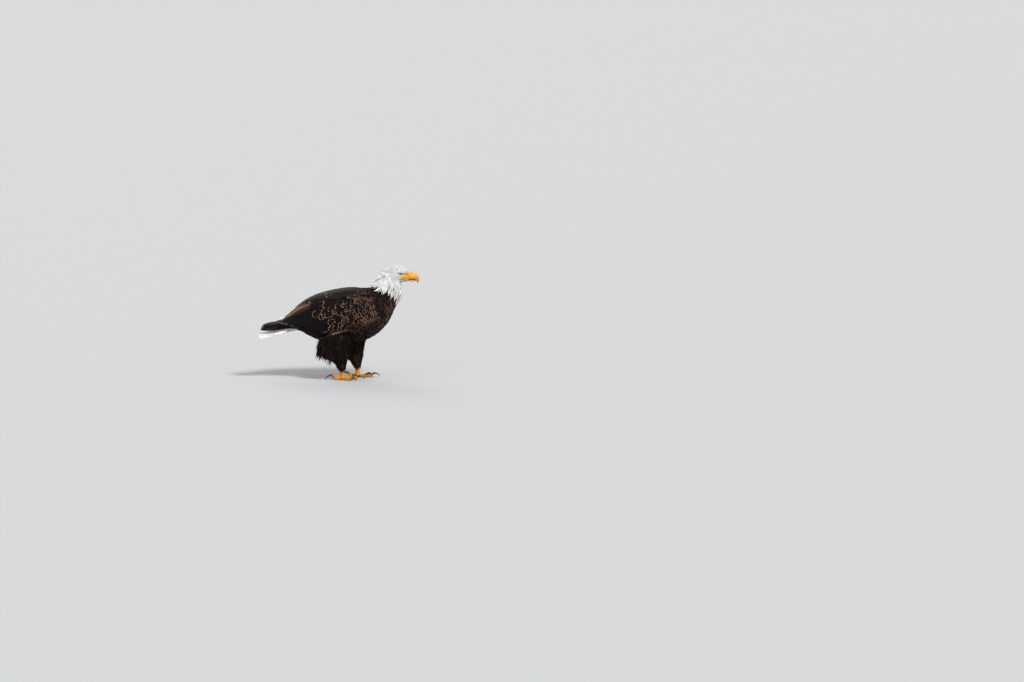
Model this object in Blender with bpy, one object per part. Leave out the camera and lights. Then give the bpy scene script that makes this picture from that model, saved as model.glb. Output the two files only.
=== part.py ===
"""A life-size standing bald eagle, modelled as a still museum figure.

Metres, +Z up. The bird faces +X with its left side on +Y, and the floor is Z = 0.
The solids follow the outside of the plumage: feather tips, brow, bill and claws included.
"""
import math

import bmesh
import bpy
import numpy as np
from mathutils import Vector

# ---------------------------------------------------------------- driving dimensions
CLEARANCE = 0.0003          # gap kept between pieces that touch
CUTTER_SWELL = 0.0005       # how far a cutter stands outside the piece it copies
FLOOR_CLEARANCE = 0.0012    # height of the claw tips above the floor
UP = np.array([0.0, 0.0, 1.0])

# The body from tail root to bill base. Each cross-section has its highest and its lowest point
# in the mid-plane as (forward, up), and its half-width.
BODY_SECTIONS = [
    # name          top                bottom             half-width
    ("tail_root", (-0.205, 0.272), (-0.185, 0.232), 0.030),
    ("undertail", (-0.165, 0.300), (-0.140, 0.205), 0.048),
    ("rump", (-0.105, 0.352), (-0.085, 0.182), 0.066),
    ("loin", (-0.030, 0.393), (-0.020, 0.170), 0.080),
    ("back", (0.050, 0.418), (0.060, 0.172), 0.086),
    ("mantle", (0.105, 0.426), (0.150, 0.195), 0.084),
    ("shoulders", (0.135, 0.4265), (0.222, 0.255), 0.078),
    ("neck_base", (0.155, 0.4320), (0.268, 0.345), 0.067),
    ("mid_neck", (0.178, 0.4620), (0.2945, 0.395), 0.055),
    ("throat", (0.200, 0.4885), (0.2955, 0.432), 0.048),
    ("nape", (0.2265, 0.5125), (0.2905, 0.4535), 0.0430),
    ("crown", (0.263, 0.5335), (0.299, 0.4570), 0.0400),
    ("brow", (0.299, 0.5305), (0.309, 0.4580), 0.0355),
    ("forehead", (0.3215, 0.5140), (0.319, 0.4590), 0.0255),
    ("bill_base", (0.3300, 0.5040), (0.3252, 0.4600), 0.0172),
]
TRUNK_END = 7.1             # how far the trunk runs on under the collar, in cross-sections
NECK_START = 7.0            # where the collar of neck feathers lies over the trunk
NECK_END = 9.7              # where the head is parted from the neck
PART_STEP = 0.02            # the same gap as CLEARANCE or more, in cross-sections
COLLAR_TIPS = 12            # pointed feather tips round the collar
COLLAR_REACH = 0.30         # how far each tip reaches down over the trunk, in cross-sections
COLLAR_LIFT = 1.04          # how far the collar stands out, as a share of its radius
TRUNK_EGG = 0.12            # how much wider a cross-section is above its middle than below
TRUNK_EGG_ENDS = 8.0        # the section where the neck has become a plain oval
TRUNK_MESH = (15, 24)       # rings along the trunk, and points round each
HEAD_MESH = (14, 26)

EYE_CENTRE = (0.2955, 0.0255, 0.4995)
EYE_RADIUS = 0.0095
ORBIT_DEPTH = 0.0058        # how deep the hollow round the eye is
ORBIT_SPREAD = 0.0125
BROW_CENTRE = (0.301, 0.5105)   # the brow ridge, which shades the eye
BROW_RISE = 0.0036
LORE_CENTRE = (0.315, 0.494)    # the hollow between eye and bill
LORE_DEPTH = 0.0030

# Bill sections: top and bottom in the mid-plane as (forward, up), and half-width.
BILL_SIDES = 12
BITE_FLATNESS = 0.45        # how flat a half of the bill is on its biting side, 1 for an oval
BILL_UPPER = [
    ((0.3300, 0.5035), (0.3262, 0.4690), 0.0165),
    ((0.3420, 0.5035), (0.3395, 0.4682), 0.0150),
    ((0.3540, 0.5003), (0.3515, 0.4672), 0.0130),
    ((0.3648, 0.4938), (0.3602, 0.4655), 0.0108),
    ((0.3730, 0.4845), (0.3648, 0.4625), 0.0082),
    ((0.3768, 0.4735), (0.3670, 0.4590), 0.0057),
    ((0.3755, 0.4620), (0.3672, 0.4552), 0.0034),
    ((0.3705, 0.4520), (0.3680, 0.4508), 0.0010),
]
BILL_LOWER = [
    ((0.3262, 0.4683), (0.3252, 0.4600), 0.0140),
    ((0.3390, 0.4677), (0.3390, 0.4588), 0.0125),
    ((0.3500, 0.4668), (0.3500, 0.4592), 0.0100),
    ((0.3578, 0.4656), (0.3572, 0.4612), 0.0065),
    ((0.3622, 0.4643), (0.3617, 0.4632), 0.0025),
]

# The folded left wing. Each section has the lower and the upper edge of the wing as (x, y, z)
# and the y that the wing bulges out to between them.
WING_SECTIONS = [
    # name            lower edge               upper edge              bulge
    ("wrist", (0.222, 0.066, 0.283), (0.158, 0.034, 0.408), 0.087),
    ("shoulder", (0.180, 0.080, 0.258), (0.112, 0.028, 0.424), 0.103),
    ("forearm", (0.112, 0.088, 0.232), (0.050, 0.022, 0.426), 0.115),
    ("elbow", (0.030, 0.086, 0.219), (-0.040, 0.016, 0.410), 0.113),
    ("coverts", (-0.060, 0.078, 0.209), (-0.130, 0.012, 0.382), 0.100),
    ("tertials", (-0.140, 0.067, 0.211), (-0.205, 0.010, 0.331), 0.080),
    ("quills", (-0.230, 0.057, 0.2395), (-0.265, 0.010, 0.283), 0.063),
    ("primaries", (-0.310, 0.047, 0.2275), (-0.330, 0.014, 0.268), 0.050),
    ("wing_tip", (-0.367, 0.038, 0.2175), (-0.374, 0.020, 0.252), 0.034),
]
WING_BULGE_AT = 0.45        # height of the bulge, from lower edge 0 to upper edge 1
WING_BULGE_PLACE = 0.42     # where the bulge comes in the mesh across the wing
WING_SECTION_PITCH = 0.060  # about the distance between sections, which the rim's width needs
WING_GIRTH = 0.22           # and about the distance from edge to edge over the bulge
ARM_END = 5.2               # where the arm stops and the bare quills go on, in sections
ARM_THICK = 0.030           # thickness of the arm before the trunk is cut from it
ARM_THIN = 0.014            # its thickness where the quills leave it
EDGE_ROUND = 0.008          # radius of the arm's rounded rim
QUILL_THICK = 0.0030        # one layer of quills at its root
QUILL_THIN = 0.0012         # and at its tips
PRIMARY_DEPTH = 0.0041      # how deep the primaries lie under the secondaries' faces
SECONDARY_REACH = (5.9, 6.75)   # sections that the lowest and the highest secondary reach
PRIMARY_REACH = (8.0, 6.9)      # the same for the primaries
SECONDARY_BAND = (0.30, 0.995)  # the part of the wing's height that each layer covers
PRIMARY_BAND = (0.005, 0.93)
QUILL_STEP = 0.0007         # how far each quill steps down to the next one's face
QUILLS_SHOWN = 6

# The tail: distance back from its root, half-height and half-width of each section.
TAIL_ROOT = (-0.1975, 0.246)
TAIL_TIP = (-0.381, 0.2115)
TAIL_SECTIONS = [(0.0, 0.0195, 0.029), (0.25, 0.0110, 0.038), (0.5, 0.0052, 0.043),
                 (0.75, 0.0026, 0.047), (1.0, 0.0013, 0.050)]
TAIL_ARCH = 0.024           # how far the outer tail feathers hang below the middle ones
TAIL_FEATHERS = 12
TAIL_NOTCH = 0.006          # depth of the notches between the tail feather tips
TAIL_ROUND = 0.010          # how much shorter the outer tail feathers are

# A feathered leg: height, fore-and-aft middle, half-length, half-width of each section.
LEG_SECTIONS = [(0.262, 0.030, 0.020, 0.012), (0.245, 0.026, 0.060, 0.026),
                (0.200, -0.009, 0.073, 0.037), (0.150, -0.025, 0.074, 0.036),
                (0.120, -0.018, 0.063, 0.029), (0.095, 0.004, 0.038, 0.022),
                (0.076, 0.012, 0.0235, 0.0182), (0.0560, 0.015, 0.0165, 0.0150)]
LEG_RINGS = 11
LEG_SIDES = 16
LEG_APART = 0.055           # half the distance between the legs
RIGHT_FOOT_X = 0.015
LEFT_FOOT_X = 0.085

# The bare shin from the ball of the foot up: height and radius.
SHIN = [(0.0085, 0.0110), (0.0200, 0.0106), (0.0380, 0.0095), (0.0560 - CLEARANCE, 0.0105)]
TOE_ROOT_HEIGHT = 0.0125
# Along a toe: share of its length, and its swelling there. The last joint rises from the floor.
TOE_JOINTS = [(0.00, 1.00), (0.28, 0.90), (0.46, 1.04), (0.68, 0.88), (0.78, 1.06), (1.00, 1.00)]
# Toes: heading in degrees from straight ahead towards the outer side, length without claw,
# radius at root and tip, chord of the claw.
TOES = {
    "middle": (2.0, 0.072, 0.0088, 0.0066, 0.034),
    "inner": (-30.0, 0.050, 0.0092, 0.0070, 0.038),
    "outer": (36.0, 0.057, 0.0082, 0.0060, 0.028),
    "hind": (176.0, 0.040, 0.0094, 0.0072, 0.042),
}
PAD_PRESS = 0.0008          # how far the soft pads are pressed flat on the floor
CLAW_PITCH = math.radians(30)   # the claw leaves the toe rising by this much
CLAW_TURN = math.radians(105)   # and turns down through this much
CLAW_ROOT = 0.86            # radius of a claw's root, as a share of its toe's end
CLAW_TIP_RADIUS = 0.0006
CLAW_STUB = 0.0012          # the claw's straight root, flat against the toe

MATERIALS = {
    # name            colour                roughness
    "white_feather": ((0.86, 0.85, 0.81), 0.75),
    "dark_feather": ((0.045, 0.030, 0.022), 0.70),
    "black_quill": ((0.018, 0.015, 0.014), 0.55),
    "bill_horn": ((0.90, 0.42, 0.05), 0.35),
    "foot_skin": ((0.90, 0.47, 0.07), 0.50),
    "claw_horn": ((0.015, 0.013, 0.012), 0.25),
    "eye": ((0.75, 0.62, 0.20), 0.08),
}


# ---------------------------------------------------------------- general helpers
def clear_scene():
    for item in list(bpy.data.objects):
        bpy.data.objects.remove(item, do_unlink=True)


def new_collection(name):
    group = bpy.data.collections.new(name)
    bpy.context.scene.collection.children.link(group)
    return group


def make_material(name):
    colour, roughness = MATERIALS[name]
    material = bpy.data.materials.new(name)
    material.use_nodes = True
    shader = material.node_tree.nodes["Principled BSDF"]
    shader.inputs["Base Color"].default_value = (*colour, 1.0)
    shader.inputs["Roughness"].default_value = roughness
    shader.inputs["Metallic"].default_value = 0.0
    return material


def smooth_track(values, at):
    """Catmull-Rom track through the rows of `values`, read at the places `at`."""
    rows = np.asarray(values, float)
    padded = np.vstack([2 * rows[0] - rows[1], rows, 2 * rows[-1] - rows[-2]])
    at = np.clip(np.atleast_1d(np.asarray(at, float)), 0.0, len(rows) - 1.0)
    low = np.minimum(at.astype(int), len(rows) - 2)
    t = (at - low)[:, None]
    a, b, c, d = (padded[low + k] for k in range(4))
    return 0.5 * (2 * b + (c - a) * t + (2 * a - 5 * b + 4 * c - d) * t ** 2
                  + (3 * b - a - 3 * c + d) * t ** 3)


def mesh_object(name, points, faces, group, material):
    """New object from points and faces, with its faces turned outwards."""
    mesh = bpy.data.meshes.new(name)
    mesh.from_pydata([tuple(p) for p in points], [], faces)
    tidy = bmesh.new()
    tidy.from_mesh(mesh)
    bmesh.ops.recalc_face_normals(tidy, faces=tidy.faces)
    tidy.to_mesh(mesh)
    tidy.free()
    mesh.shade_smooth()
    mesh.materials.append(material)
    piece = bpy.data.objects.new(name, mesh)
    group.objects.link(piece)
    return piece


def side_faces(rows, around):
    """Faces between neighbouring rings of equal count."""
    faces = []
    for i in range(rows - 1):
        for j in range(around):
            k = (j + 1) % around
            faces.append((i * around + j, i * around + k, (i + 1) * around + k, (i + 1) * around + j))
    return faces


def arched_loft(name, rings, group, material):
    """Closed body through rings that bend like a crescent, with strips of faces over each end.

    A strip joins the upper half of the ring to the lower half below it, so that it stays inside
    the ring where a fan about the middle would leave it.
    """
    rows, around, _ = rings.shape
    faces = side_faces(rows, around)
    last = (rows - 1) * around
    for a in range(around // 2):
        strip = (a, a + 1, around - a - 1, (around - a) % around)
        strip = tuple(dict.fromkeys(strip))
        faces.append(strip[::-1])
        faces.append(tuple(last + corner for corner in strip))
    return mesh_object(name, rings.reshape(-1, 3), faces, group, material)


def loft(name, rings, group, material):
    """Closed body through rings of equal count, with a fan of faces over each end."""
    rows, around, _ = rings.shape
    points = np.vstack([rings.reshape(-1, 3), rings[0].mean(axis=0), rings[-1].mean(axis=0)])
    first, last = rows * around, rows * around + 1
    faces = side_faces(rows, around)
    for j in range(around):
        k = (j + 1) % around
        faces.append((first, k, j))
        faces.append((last, (rows - 1) * around + j, (rows - 1) * around + k))
    return mesh_object(name, points, faces, group, material)


def slab(name, outer, inner, group, material):
    """Closed slab between two grids of points of the same shape."""
    rows, columns, _ = outer.shape
    points = np.vstack([outer.reshape(-1, 3), inner.reshape(-1, 3)])
    under = rows * columns
    faces = []
    for i in range(rows - 1):
        for j in range(columns - 1):
            a, b = i * columns + j, i * columns + j + 1
            c, d = b + columns, a + columns
            faces.append((a, b, c, d))
            faces.append((under + d, under + c, under + b, under + a))
    rim = list(range(columns))
    rim += [i * columns + columns - 1 for i in range(1, rows)]
    rim += [(rows - 1) * columns + j for j in range(columns - 2, -1, -1)]
    rim += [i * columns for i in range(rows - 2, 0, -1)]
    for a, b in zip(rim, rim[1:] + rim[:1]):
        faces.append((b, a, under + a, under + b))
    return mesh_object(name, points, faces, group, material)


def tube(name, path, radii, group, material, resolution=2):
    """Round tube along a path with a radius at each point, as a welded mesh."""
    curve = bpy.data.curves.new(name, "CURVE")
    curve.dimensions = "3D"
    curve.bevel_depth = 1.0
    curve.bevel_resolution = resolution
    curve.use_fill_caps = True
    spline = curve.splines.new("POLY")
    spline.points.add(len(path) - 1)
    for point, place, radius in zip(spline.points, path, radii):
        point.co = (*place, 1.0)
        point.radius = radius
    carrier = bpy.data.objects.new(name + "_path", curve)
    group.objects.link(carrier)
    view = bpy.context.evaluated_depsgraph_get()
    mesh = bpy.data.meshes.new_from_object(carrier.evaluated_get(view))
    mesh.name = name
    bpy.data.objects.remove(carrier, do_unlink=True)
    bpy.data.curves.remove(curve)
    weld = bmesh.new()
    weld.from_mesh(mesh)
    bmesh.ops.remove_doubles(weld, verts=weld.verts, dist=0.00002)
    bmesh.ops.recalc_face_normals(weld, faces=weld.faces)
    weld.to_mesh(mesh)
    weld.free()
    mesh.shade_smooth()
    mesh.materials.clear()
    mesh.materials.append(material)
    piece = bpy.data.objects.new(name, mesh)
    group.objects.link(piece)
    return piece


def keep_largest_body(mesh):
    """Deletes all but the piece of mesh with the most volume, so no crumb of a cut is left."""
    work = bmesh.new()
    work.from_mesh(mesh)
    bmesh.ops.remove_doubles(work, verts=work.verts, dist=0.00002)
    left = set(work.verts)
    bodies = []
    while left:
        start = left.pop()
        body, front = {start}, [start]
        while front:
            vertex = front.pop()
            for edge in vertex.link_edges:
                other = edge.other_vert(vertex)
                if other not in body:
                    body.add(other)
                    front.append(other)
        left -= body
        bodies.append(body)
    bodies.sort(key=len)
    crumbs = [vertex for body in bodies[:-1] for vertex in body]
    bmesh.ops.delete(work, geom=crumbs, context="VERTS")
    bmesh.ops.triangulate(work, faces=work.faces)
    work.to_mesh(mesh)
    work.free()


def combine(piece, tool, operation):
    """Applies a Boolean with `tool` to `piece`."""
    boolean = piece.modifiers.new(operation.lower(), "BOOLEAN")
    boolean.operation = operation
    boolean.solver = "EXACT"
    boolean.object = tool
    view = bpy.context.evaluated_depsgraph_get()
    mesh = bpy.data.meshes.new_from_object(piece.evaluated_get(view))
    piece.modifiers.clear()
    old = piece.data
    piece.data = mesh
    bpy.data.meshes.remove(old)
    keep_largest_body(mesh)


def swollen_cutter(piece, group):
    """Copy of a piece that stands outside it by CUTTER_SWELL, for cutting its neighbours."""
    cutter = piece.copy()
    cutter.data = piece.data.copy()
    cutter.name = "cutter_" + piece.name
    group.objects.link(cutter)
    swell = cutter.modifiers.new("swell", "DISPLACE")
    swell.mid_level = 0.0
    swell.strength = CUTTER_SWELL
    hide_cutter(cutter)
    return cutter


def hide_cutter(cutter):
    cutter.hide_render = True
    cutter.display_type = "WIRE"


def mirrored(points):
    """The same points on the bird's other side."""
    return points * np.array([1.0, -1.0, 1.0])


# ---------------------------------------------------------------- head, neck and trunk
def body_rings(stations):
    """Rings round the body, from a grid of cross-section numbers with one column a side.

    Each ring is an egg-shaped oval between its top and bottom points.
    """
    rows, sides = stations.shape
    table = [(*top, *bottom, half) for _, top, bottom, half in BODY_SECTIONS]
    track = smooth_track(table, stations.ravel()).reshape(rows, sides, 5)
    top, bottom, half = track[..., 0:2], track[..., 2:4], track[..., 4]
    angle = np.linspace(0.0, 2 * math.pi, sides, endpoint=False)[None, :]
    rise, side = np.cos(angle), np.sin(angle)
    spine = (top + bottom) / 2 + (top - bottom) / 2 * rise[..., None]
    egg = TRUNK_EGG * np.clip((TRUNK_EGG_ENDS - stations) / 2.0, 0.0, 1.0)
    wide = half * side * (1.0 + egg * rise)
    rings = np.stack([spine[..., 0], wide, spine[..., 1]], axis=-1)
    return rings + head_relief(rings)


def even_stations(start, end, rows, sides):
    return np.repeat(np.linspace(start, end, rows)[:, None], sides, axis=1)


def collar_rings():
    """Rings of the neck. The first ones stand out and end in pointed tips over the trunk."""
    sides = 3 * COLLAR_TIPS
    stations = np.vstack([even_stations(NECK_START, NECK_START + 0.15, 2, sides),
                          even_stations(NECK_START + 0.6, NECK_END, 5, sides)])
    stations[0, ::3] -= COLLAR_REACH
    rings = body_rings(stations)
    middle = rings.mean(axis=1, keepdims=True)
    lift = np.ones(len(rings))
    lift[:2] = COLLAR_LIFT
    lift[2] = (1.0 + COLLAR_LIFT) / 2
    return middle + (rings - middle) * lift[:, None, None]


def head_relief(rings):
    """Sideways shift of the skin: the hollows of orbit and lores, and the brow over them."""
    x, y, z = rings[..., 0], np.abs(rings[..., 1]), rings[..., 2]
    eye_x, _, eye_z = EYE_CENTRE
    near = (x - eye_x) ** 2 + (z - eye_z) ** 2
    orbit = -ORBIT_DEPTH * np.exp(-near / ORBIT_SPREAD ** 2)
    lore_x, lore_z = LORE_CENTRE
    lore = -LORE_DEPTH * np.exp(-((x - lore_x) / 0.009) ** 2 - ((z - lore_z) / 0.008) ** 2)
    brow_x, brow_z = BROW_CENTRE
    brow = BROW_RISE * np.exp(-((x - brow_x) / 0.015) ** 2 - ((z - brow_z) / 0.0050) ** 2)
    shift = (orbit + lore + brow) * np.clip(y / 0.012, 0.0, 1.0) * np.sign(rings[..., 1])
    return np.stack([np.zeros_like(x), shift, np.zeros_like(x)], axis=-1)


def build_body(group, tools, materials):
    """Trunk, neck, head and eyes. The neck's collar is cut out of the trunk's front end."""
    trunk = loft("trunk", body_rings(even_stations(0.0, TRUNK_END, *TRUNK_MESH)), group,
                 materials["dark_feather"])
    neck = loft("neck", collar_rings(), group, materials["white_feather"])
    combine(trunk, swollen_cutter(neck, tools), "DIFFERENCE")
    last = len(BODY_SECTIONS) - 1
    head = loft("head", body_rings(even_stations(NECK_END + PART_STEP, last, *HEAD_MESH)), group,
                materials["white_feather"])
    for side, sign in (("left", 1), ("right", -1)):
        x, y, z = EYE_CENTRE
        ball("eye_" + side, (x, sign * y, z), EYE_RADIUS, group, materials["eye"])
        socket = ball("cutter_socket_" + side, (x, sign * y, z), EYE_RADIUS + CUTTER_SWELL, tools,
                      materials["eye"])
        hide_cutter(socket)
        combine(head, socket, "DIFFERENCE")
    return trunk


def ball(name, centre, radius, group, material):
    """Sphere with its poles to the bird's left and right."""
    mesh = bpy.data.meshes.new(name)
    shape = bmesh.new()
    bmesh.ops.create_uvsphere(shape, u_segments=14, v_segments=8, radius=radius)
    turn = Vector((0.0, 1.0, 0.0)).to_track_quat("Z", "Y").to_matrix().to_4x4()
    bmesh.ops.transform(shape, matrix=turn, verts=shape.verts)
    bmesh.ops.translate(shape, vec=centre, verts=shape.verts)
    shape.to_mesh(mesh)
    shape.free()
    mesh.shade_smooth()
    mesh.materials.append(material)
    piece = bpy.data.objects.new(name, mesh)
    group.objects.link(piece)
    return piece


# ---------------------------------------------------------------- bill
def bill_rings(sections, ridge):
    """Rings of one half of the bill. `ridge` is +1 for its ridge above, or -1 for below."""
    table = [(*top, *bottom, half) for top, bottom, half in sections]
    stations = np.linspace(0.0, len(sections) - 1.0, 2 * len(sections) - 1)
    track = smooth_track(table, stations)
    top, bottom, half = track[:, None, 0:2], track[:, None, 2:4], track[:, None, 4]
    angle = np.linspace(0.0, 2 * math.pi, BILL_SIDES, endpoint=False)[None, :]
    rise, side = np.cos(angle), np.sin(angle)
    flat = np.where(rise * ridge < 0, BITE_FLATNESS, 1.0)
    rise = np.sign(rise) * np.abs(rise) ** flat
    spine = (top + bottom) / 2 + (top - bottom) / 2 * rise[..., None]
    return np.stack([spine[..., 0], half * side, spine[..., 1]], axis=-1)


def build_bill(group, materials):
    """Upper and lower bill, set a clearance ahead of the face."""
    for name, sections, ridge in (("bill_upper", BILL_UPPER, 1), ("bill_lower", BILL_LOWER, -1)):
        rings = bill_rings(sections, ridge)
        rings[..., 0] += 1.2 * CLEARANCE
        loft(name, rings, group, materials["bill_horn"])


# ---------------------------------------------------------------- wings
def wing_surface(along, across):
    """Points of the folded left wing's outer face, for arrays of places along and across it.

    Below the bulge the wing swells out as a parabola, and above it turns in over the back
    as a quarter of an ellipse.
    """
    table = [(*low, *high, bulge) for _, low, high, bulge in WING_SECTIONS]
    track = smooth_track(table, along.ravel()).reshape(*along.shape, 7)
    low, high, bulge = track[..., 0:3], track[..., 3:6], track[..., 6]
    middle = WING_BULGE_PLACE
    below = np.clip(across / middle, 0.0, 1.0)
    turn = np.clip((across - middle) / (1.0 - middle), 0.0, 1.0) * math.pi / 2
    height = np.where(across < middle, WING_BULGE_AT * below,
                      WING_BULGE_AT + (1.0 - WING_BULGE_AT) * np.sin(turn))
    lower_y = low[..., 1] + (bulge - low[..., 1]) * (1.0 - (1.0 - below) ** 2)
    upper_y = high[..., 1] + (bulge - high[..., 1]) * np.cos(turn)
    y = np.where(across < middle, lower_y, upper_y)
    x = low[..., 0] + (high[..., 0] - low[..., 0]) * height
    z = low[..., 2] + (high[..., 2] - low[..., 2]) * height
    return np.stack([x, y, z], axis=-1)


def wing_normals(along, across):
    """Outward directions on the wing's outer face, from two short steps along the surface."""
    step = 0.02
    forth = wing_surface(along + step, across) - wing_surface(along - step, across)
    inside = np.clip(across, step, 1.0 - step)
    up = wing_surface(along, inside + step) - wing_surface(along, inside - step)
    normal = np.cross(forth, up)
    return normal / np.linalg.norm(normal, axis=-1, keepdims=True)


def wing_layer(along, across, depth):
    """Points at a depth under the wing's outer face."""
    return wing_surface(along, across) - wing_normals(along, across) * depth[..., None]


def rim_drop(distance):
    """Depth of a quarter-round rim at a distance from the edge."""
    reach = 1.0 - np.clip(distance / EDGE_ROUND, 0.0, 1.0)
    return EDGE_ROUND * (1.0 - np.sqrt(1.0 - reach ** 2))


def arm_grids():
    """Outer and inner grids of the arm with its coverts."""
    rows = np.concatenate([[0.0, 0.04, 0.15], np.linspace(0.5, ARM_END, 7)])
    columns = np.concatenate([[0.0, 0.03], np.linspace(0.12, 0.90, 7), [0.97, 1.0]])
    along, across = np.meshgrid(rows, columns, indexing="ij")
    rim = np.minimum(along * WING_SECTION_PITCH, np.minimum(across, 1.0 - across) * WING_GIRTH)
    thick = ARM_THICK + (ARM_THIN - ARM_THICK) * (along / ARM_END) ** 2
    outer = wing_layer(along, across, rim_drop(rim))
    inner = wing_layer(along, across, thick)
    return outer, inner


def feather_steps(places, count):
    """For places 0 to 1 across `count` feathers: each one's own middle, and -1 to 1 within it."""
    own = np.minimum(np.floor(places * count), count - 1)
    return (own + 0.5) / count, 2.0 * (places * count - own) - 1.0


def quill_grids(reach, across_span, top_depth, tip_round):
    """Outer and inner grids of one layer of quills, which end in steps of rounded tips.

    `reach` gives the sections where the lowest and the highest quill end, `across_span` the band
    of the wing that the layer covers, and `tip_round` how far a tip's corners fall back.
    """
    feathers = np.arange(QUILLS_SHOWN)[:, None]
    within = np.array([0.04, 0.50, 0.96])[None, :]
    places = ((feathers + within) / QUILLS_SHOWN).ravel()
    own, offset = feather_steps(places, QUILLS_SHOWN)
    first = ARM_END + PART_STEP
    end = reach[0] + (reach[1] - reach[0]) * own - tip_round * np.abs(offset) ** 2.5
    share = np.array([0.0, 0.3, 0.6, 0.85, 1.0])[:, None]
    along = first + (end[None, :] - first) * share
    across = np.broadcast_to(across_span[0] + (across_span[1] - across_span[0]) * places[None, :],
                             along.shape)
    thick = QUILL_THICK + (QUILL_THIN - QUILL_THICK) * share
    step = QUILL_STEP * (1.0 - offset[None, :]) / 2 * share
    outer = wing_layer(along, across, top_depth + step)
    inner = wing_layer(along, across, top_depth + step + thick)
    return outer, inner


def build_wings(group, materials):
    """Arm, secondaries and primaries of both wings. The primaries lie under the secondaries."""
    layers = {
        "wing": (arm_grids(), "dark_feather"),
        "secondaries": (quill_grids(SECONDARY_REACH, SECONDARY_BAND, 0.0, 0.10), "dark_feather"),
        "primaries": (quill_grids(PRIMARY_REACH, PRIMARY_BAND, PRIMARY_DEPTH, 0.14), "black_quill"),
    }
    pieces = {}
    for name, ((outer, inner), material) in layers.items():
        pieces[name + "_left"] = slab(name + "_left", outer, inner, group, materials[material])
        pieces[name + "_right"] = slab(name + "_right", mirrored(outer), mirrored(inner), group,
                                       materials[material])
    return pieces


# ---------------------------------------------------------------- tail
def build_tail(group, material):
    """Closed tail: a deep root that flattens into an arched fan with a notched end."""
    track = smooth_track(TAIL_SECTIONS, np.linspace(0.0, len(TAIL_SECTIONS) - 1.0, 6))
    share, height, width = track[:, 0:1], track[:, 1:2], track[:, 2:3]
    upper = np.linspace(-1.0, 1.0, 2 * TAIL_FEATHERS + 1)
    across = np.concatenate([upper, upper[-2:0:-1]])[None, :]
    over = np.where(np.arange(across.size) < upper.size, 1.0, -1.0)[None, :]
    full = np.sqrt(np.clip(1.0 - np.abs(across) ** 3, 0.0, 1.0))
    _, offset = feather_steps((across + 1.0) / 2, TAIL_FEATHERS)
    notch = TAIL_NOTCH * (offset ** 2) * share ** 4
    back = (TAIL_TIP[0] - TAIL_ROOT[0]) * share
    drop = (TAIL_TIP[1] - TAIL_ROOT[1]) * share
    x = TAIL_ROOT[0] + back + notch + TAIL_ROUND * share ** 4 * across ** 2
    y = width * across
    z = TAIL_ROOT[1] + drop - TAIL_ARCH * across ** 2 * np.clip(share * 1.5, 0.0, 1.0)
    z = z + height * over * full
    rings = np.stack(np.broadcast_arrays(x, y, z), axis=-1)
    return arched_loft("tail", rings, group, material)


# ---------------------------------------------------------------- legs and feet
def build_leg(side, sign, foot_x, group, material):
    """Feathered thigh and shank in one, down to where the bare shin starts."""
    table = smooth_track(LEG_SECTIONS, np.linspace(0.0, len(LEG_SECTIONS) - 1.0, LEG_RINGS))
    height, middle, half_length, half_width = (table[:, None, k] for k in range(4))
    angle = np.linspace(0.0, 2 * math.pi, LEG_SIDES, endpoint=False)[None, :]
    x = foot_x - RIGHT_FOOT_X + middle + half_length * np.cos(angle)
    y = sign * LEG_APART + half_width * np.sin(angle)
    z = height + 0.0 * angle
    return loft("leg_" + side, np.stack(np.broadcast_arrays(x, y, z), axis=-1), group, material)


def claw_arc_radius(chord):
    return chord / (2.0 * math.sin(CLAW_TURN / 2))


def toe_end_height(chord):
    """Height of the toe's end that sets its claw's tip just clear of the floor."""
    fall = math.cos(CLAW_PITCH) - math.cos(CLAW_PITCH - CLAW_TURN)
    return FLOOR_CLEARANCE + CLAW_TIP_RADIUS + claw_arc_radius(chord) * fall


def toe_path(origin, heading, length, root_radius, tip_radius, chord):
    """Middle line and radii of a toe, and the direction in which its end rises."""
    ahead = np.array([math.cos(heading), math.sin(heading), 0.0])
    rising = ahead * math.cos(CLAW_PITCH) + UP * math.sin(CLAW_PITCH)
    share, swelling = np.array(TOE_JOINTS).T
    end_height = toe_end_height(chord)
    rise_run = (end_height - tip_radius) / math.tan(CLAW_PITCH)
    share[-2] = max(1.0 - rise_run / length, share[-2])
    radii = swelling * (root_radius + (tip_radius - root_radius) * share)
    height = radii - PAD_PRESS
    height[0] = TOE_ROOT_HEIGHT
    height[-1] = end_height
    coarse = origin + ahead * (share * length)[:, None] + UP * height[:, None]
    stations = np.linspace(0.0, len(coarse) - 1.0, 9)
    path = smooth_track(coarse, stations)
    path[-2] = path[-1] - rising * np.linalg.norm(path[-1] - path[-2])
    return path, smooth_track(radii[:, None], stations)[:, 0], rising


def claw_path(start, heading, chord, base_radius):
    """Claw along an arc from CLAW_PITCH upwards through CLAW_TURN down, tapering to its tip."""
    radius = claw_arc_radius(chord)
    share = np.linspace(0.0, 1.0, 6)
    angle = CLAW_PITCH - CLAW_TURN * share
    run = radius * (math.sin(CLAW_PITCH) - np.sin(angle))
    rise = radius * (np.cos(angle) - math.cos(CLAW_PITCH))
    ahead = np.array([math.cos(heading), math.sin(heading), 0.0])
    root = start + (ahead * math.cos(CLAW_PITCH) + UP * math.sin(CLAW_PITCH)) * CLAW_STUB
    path = root + ahead * run[:, None] + UP * rise[:, None]
    radii = CLAW_TIP_RADIUS + (base_radius - CLAW_TIP_RADIUS) * (1.0 - share) ** 0.75
    return np.vstack([start, path]), np.concatenate([[base_radius], radii])


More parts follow.
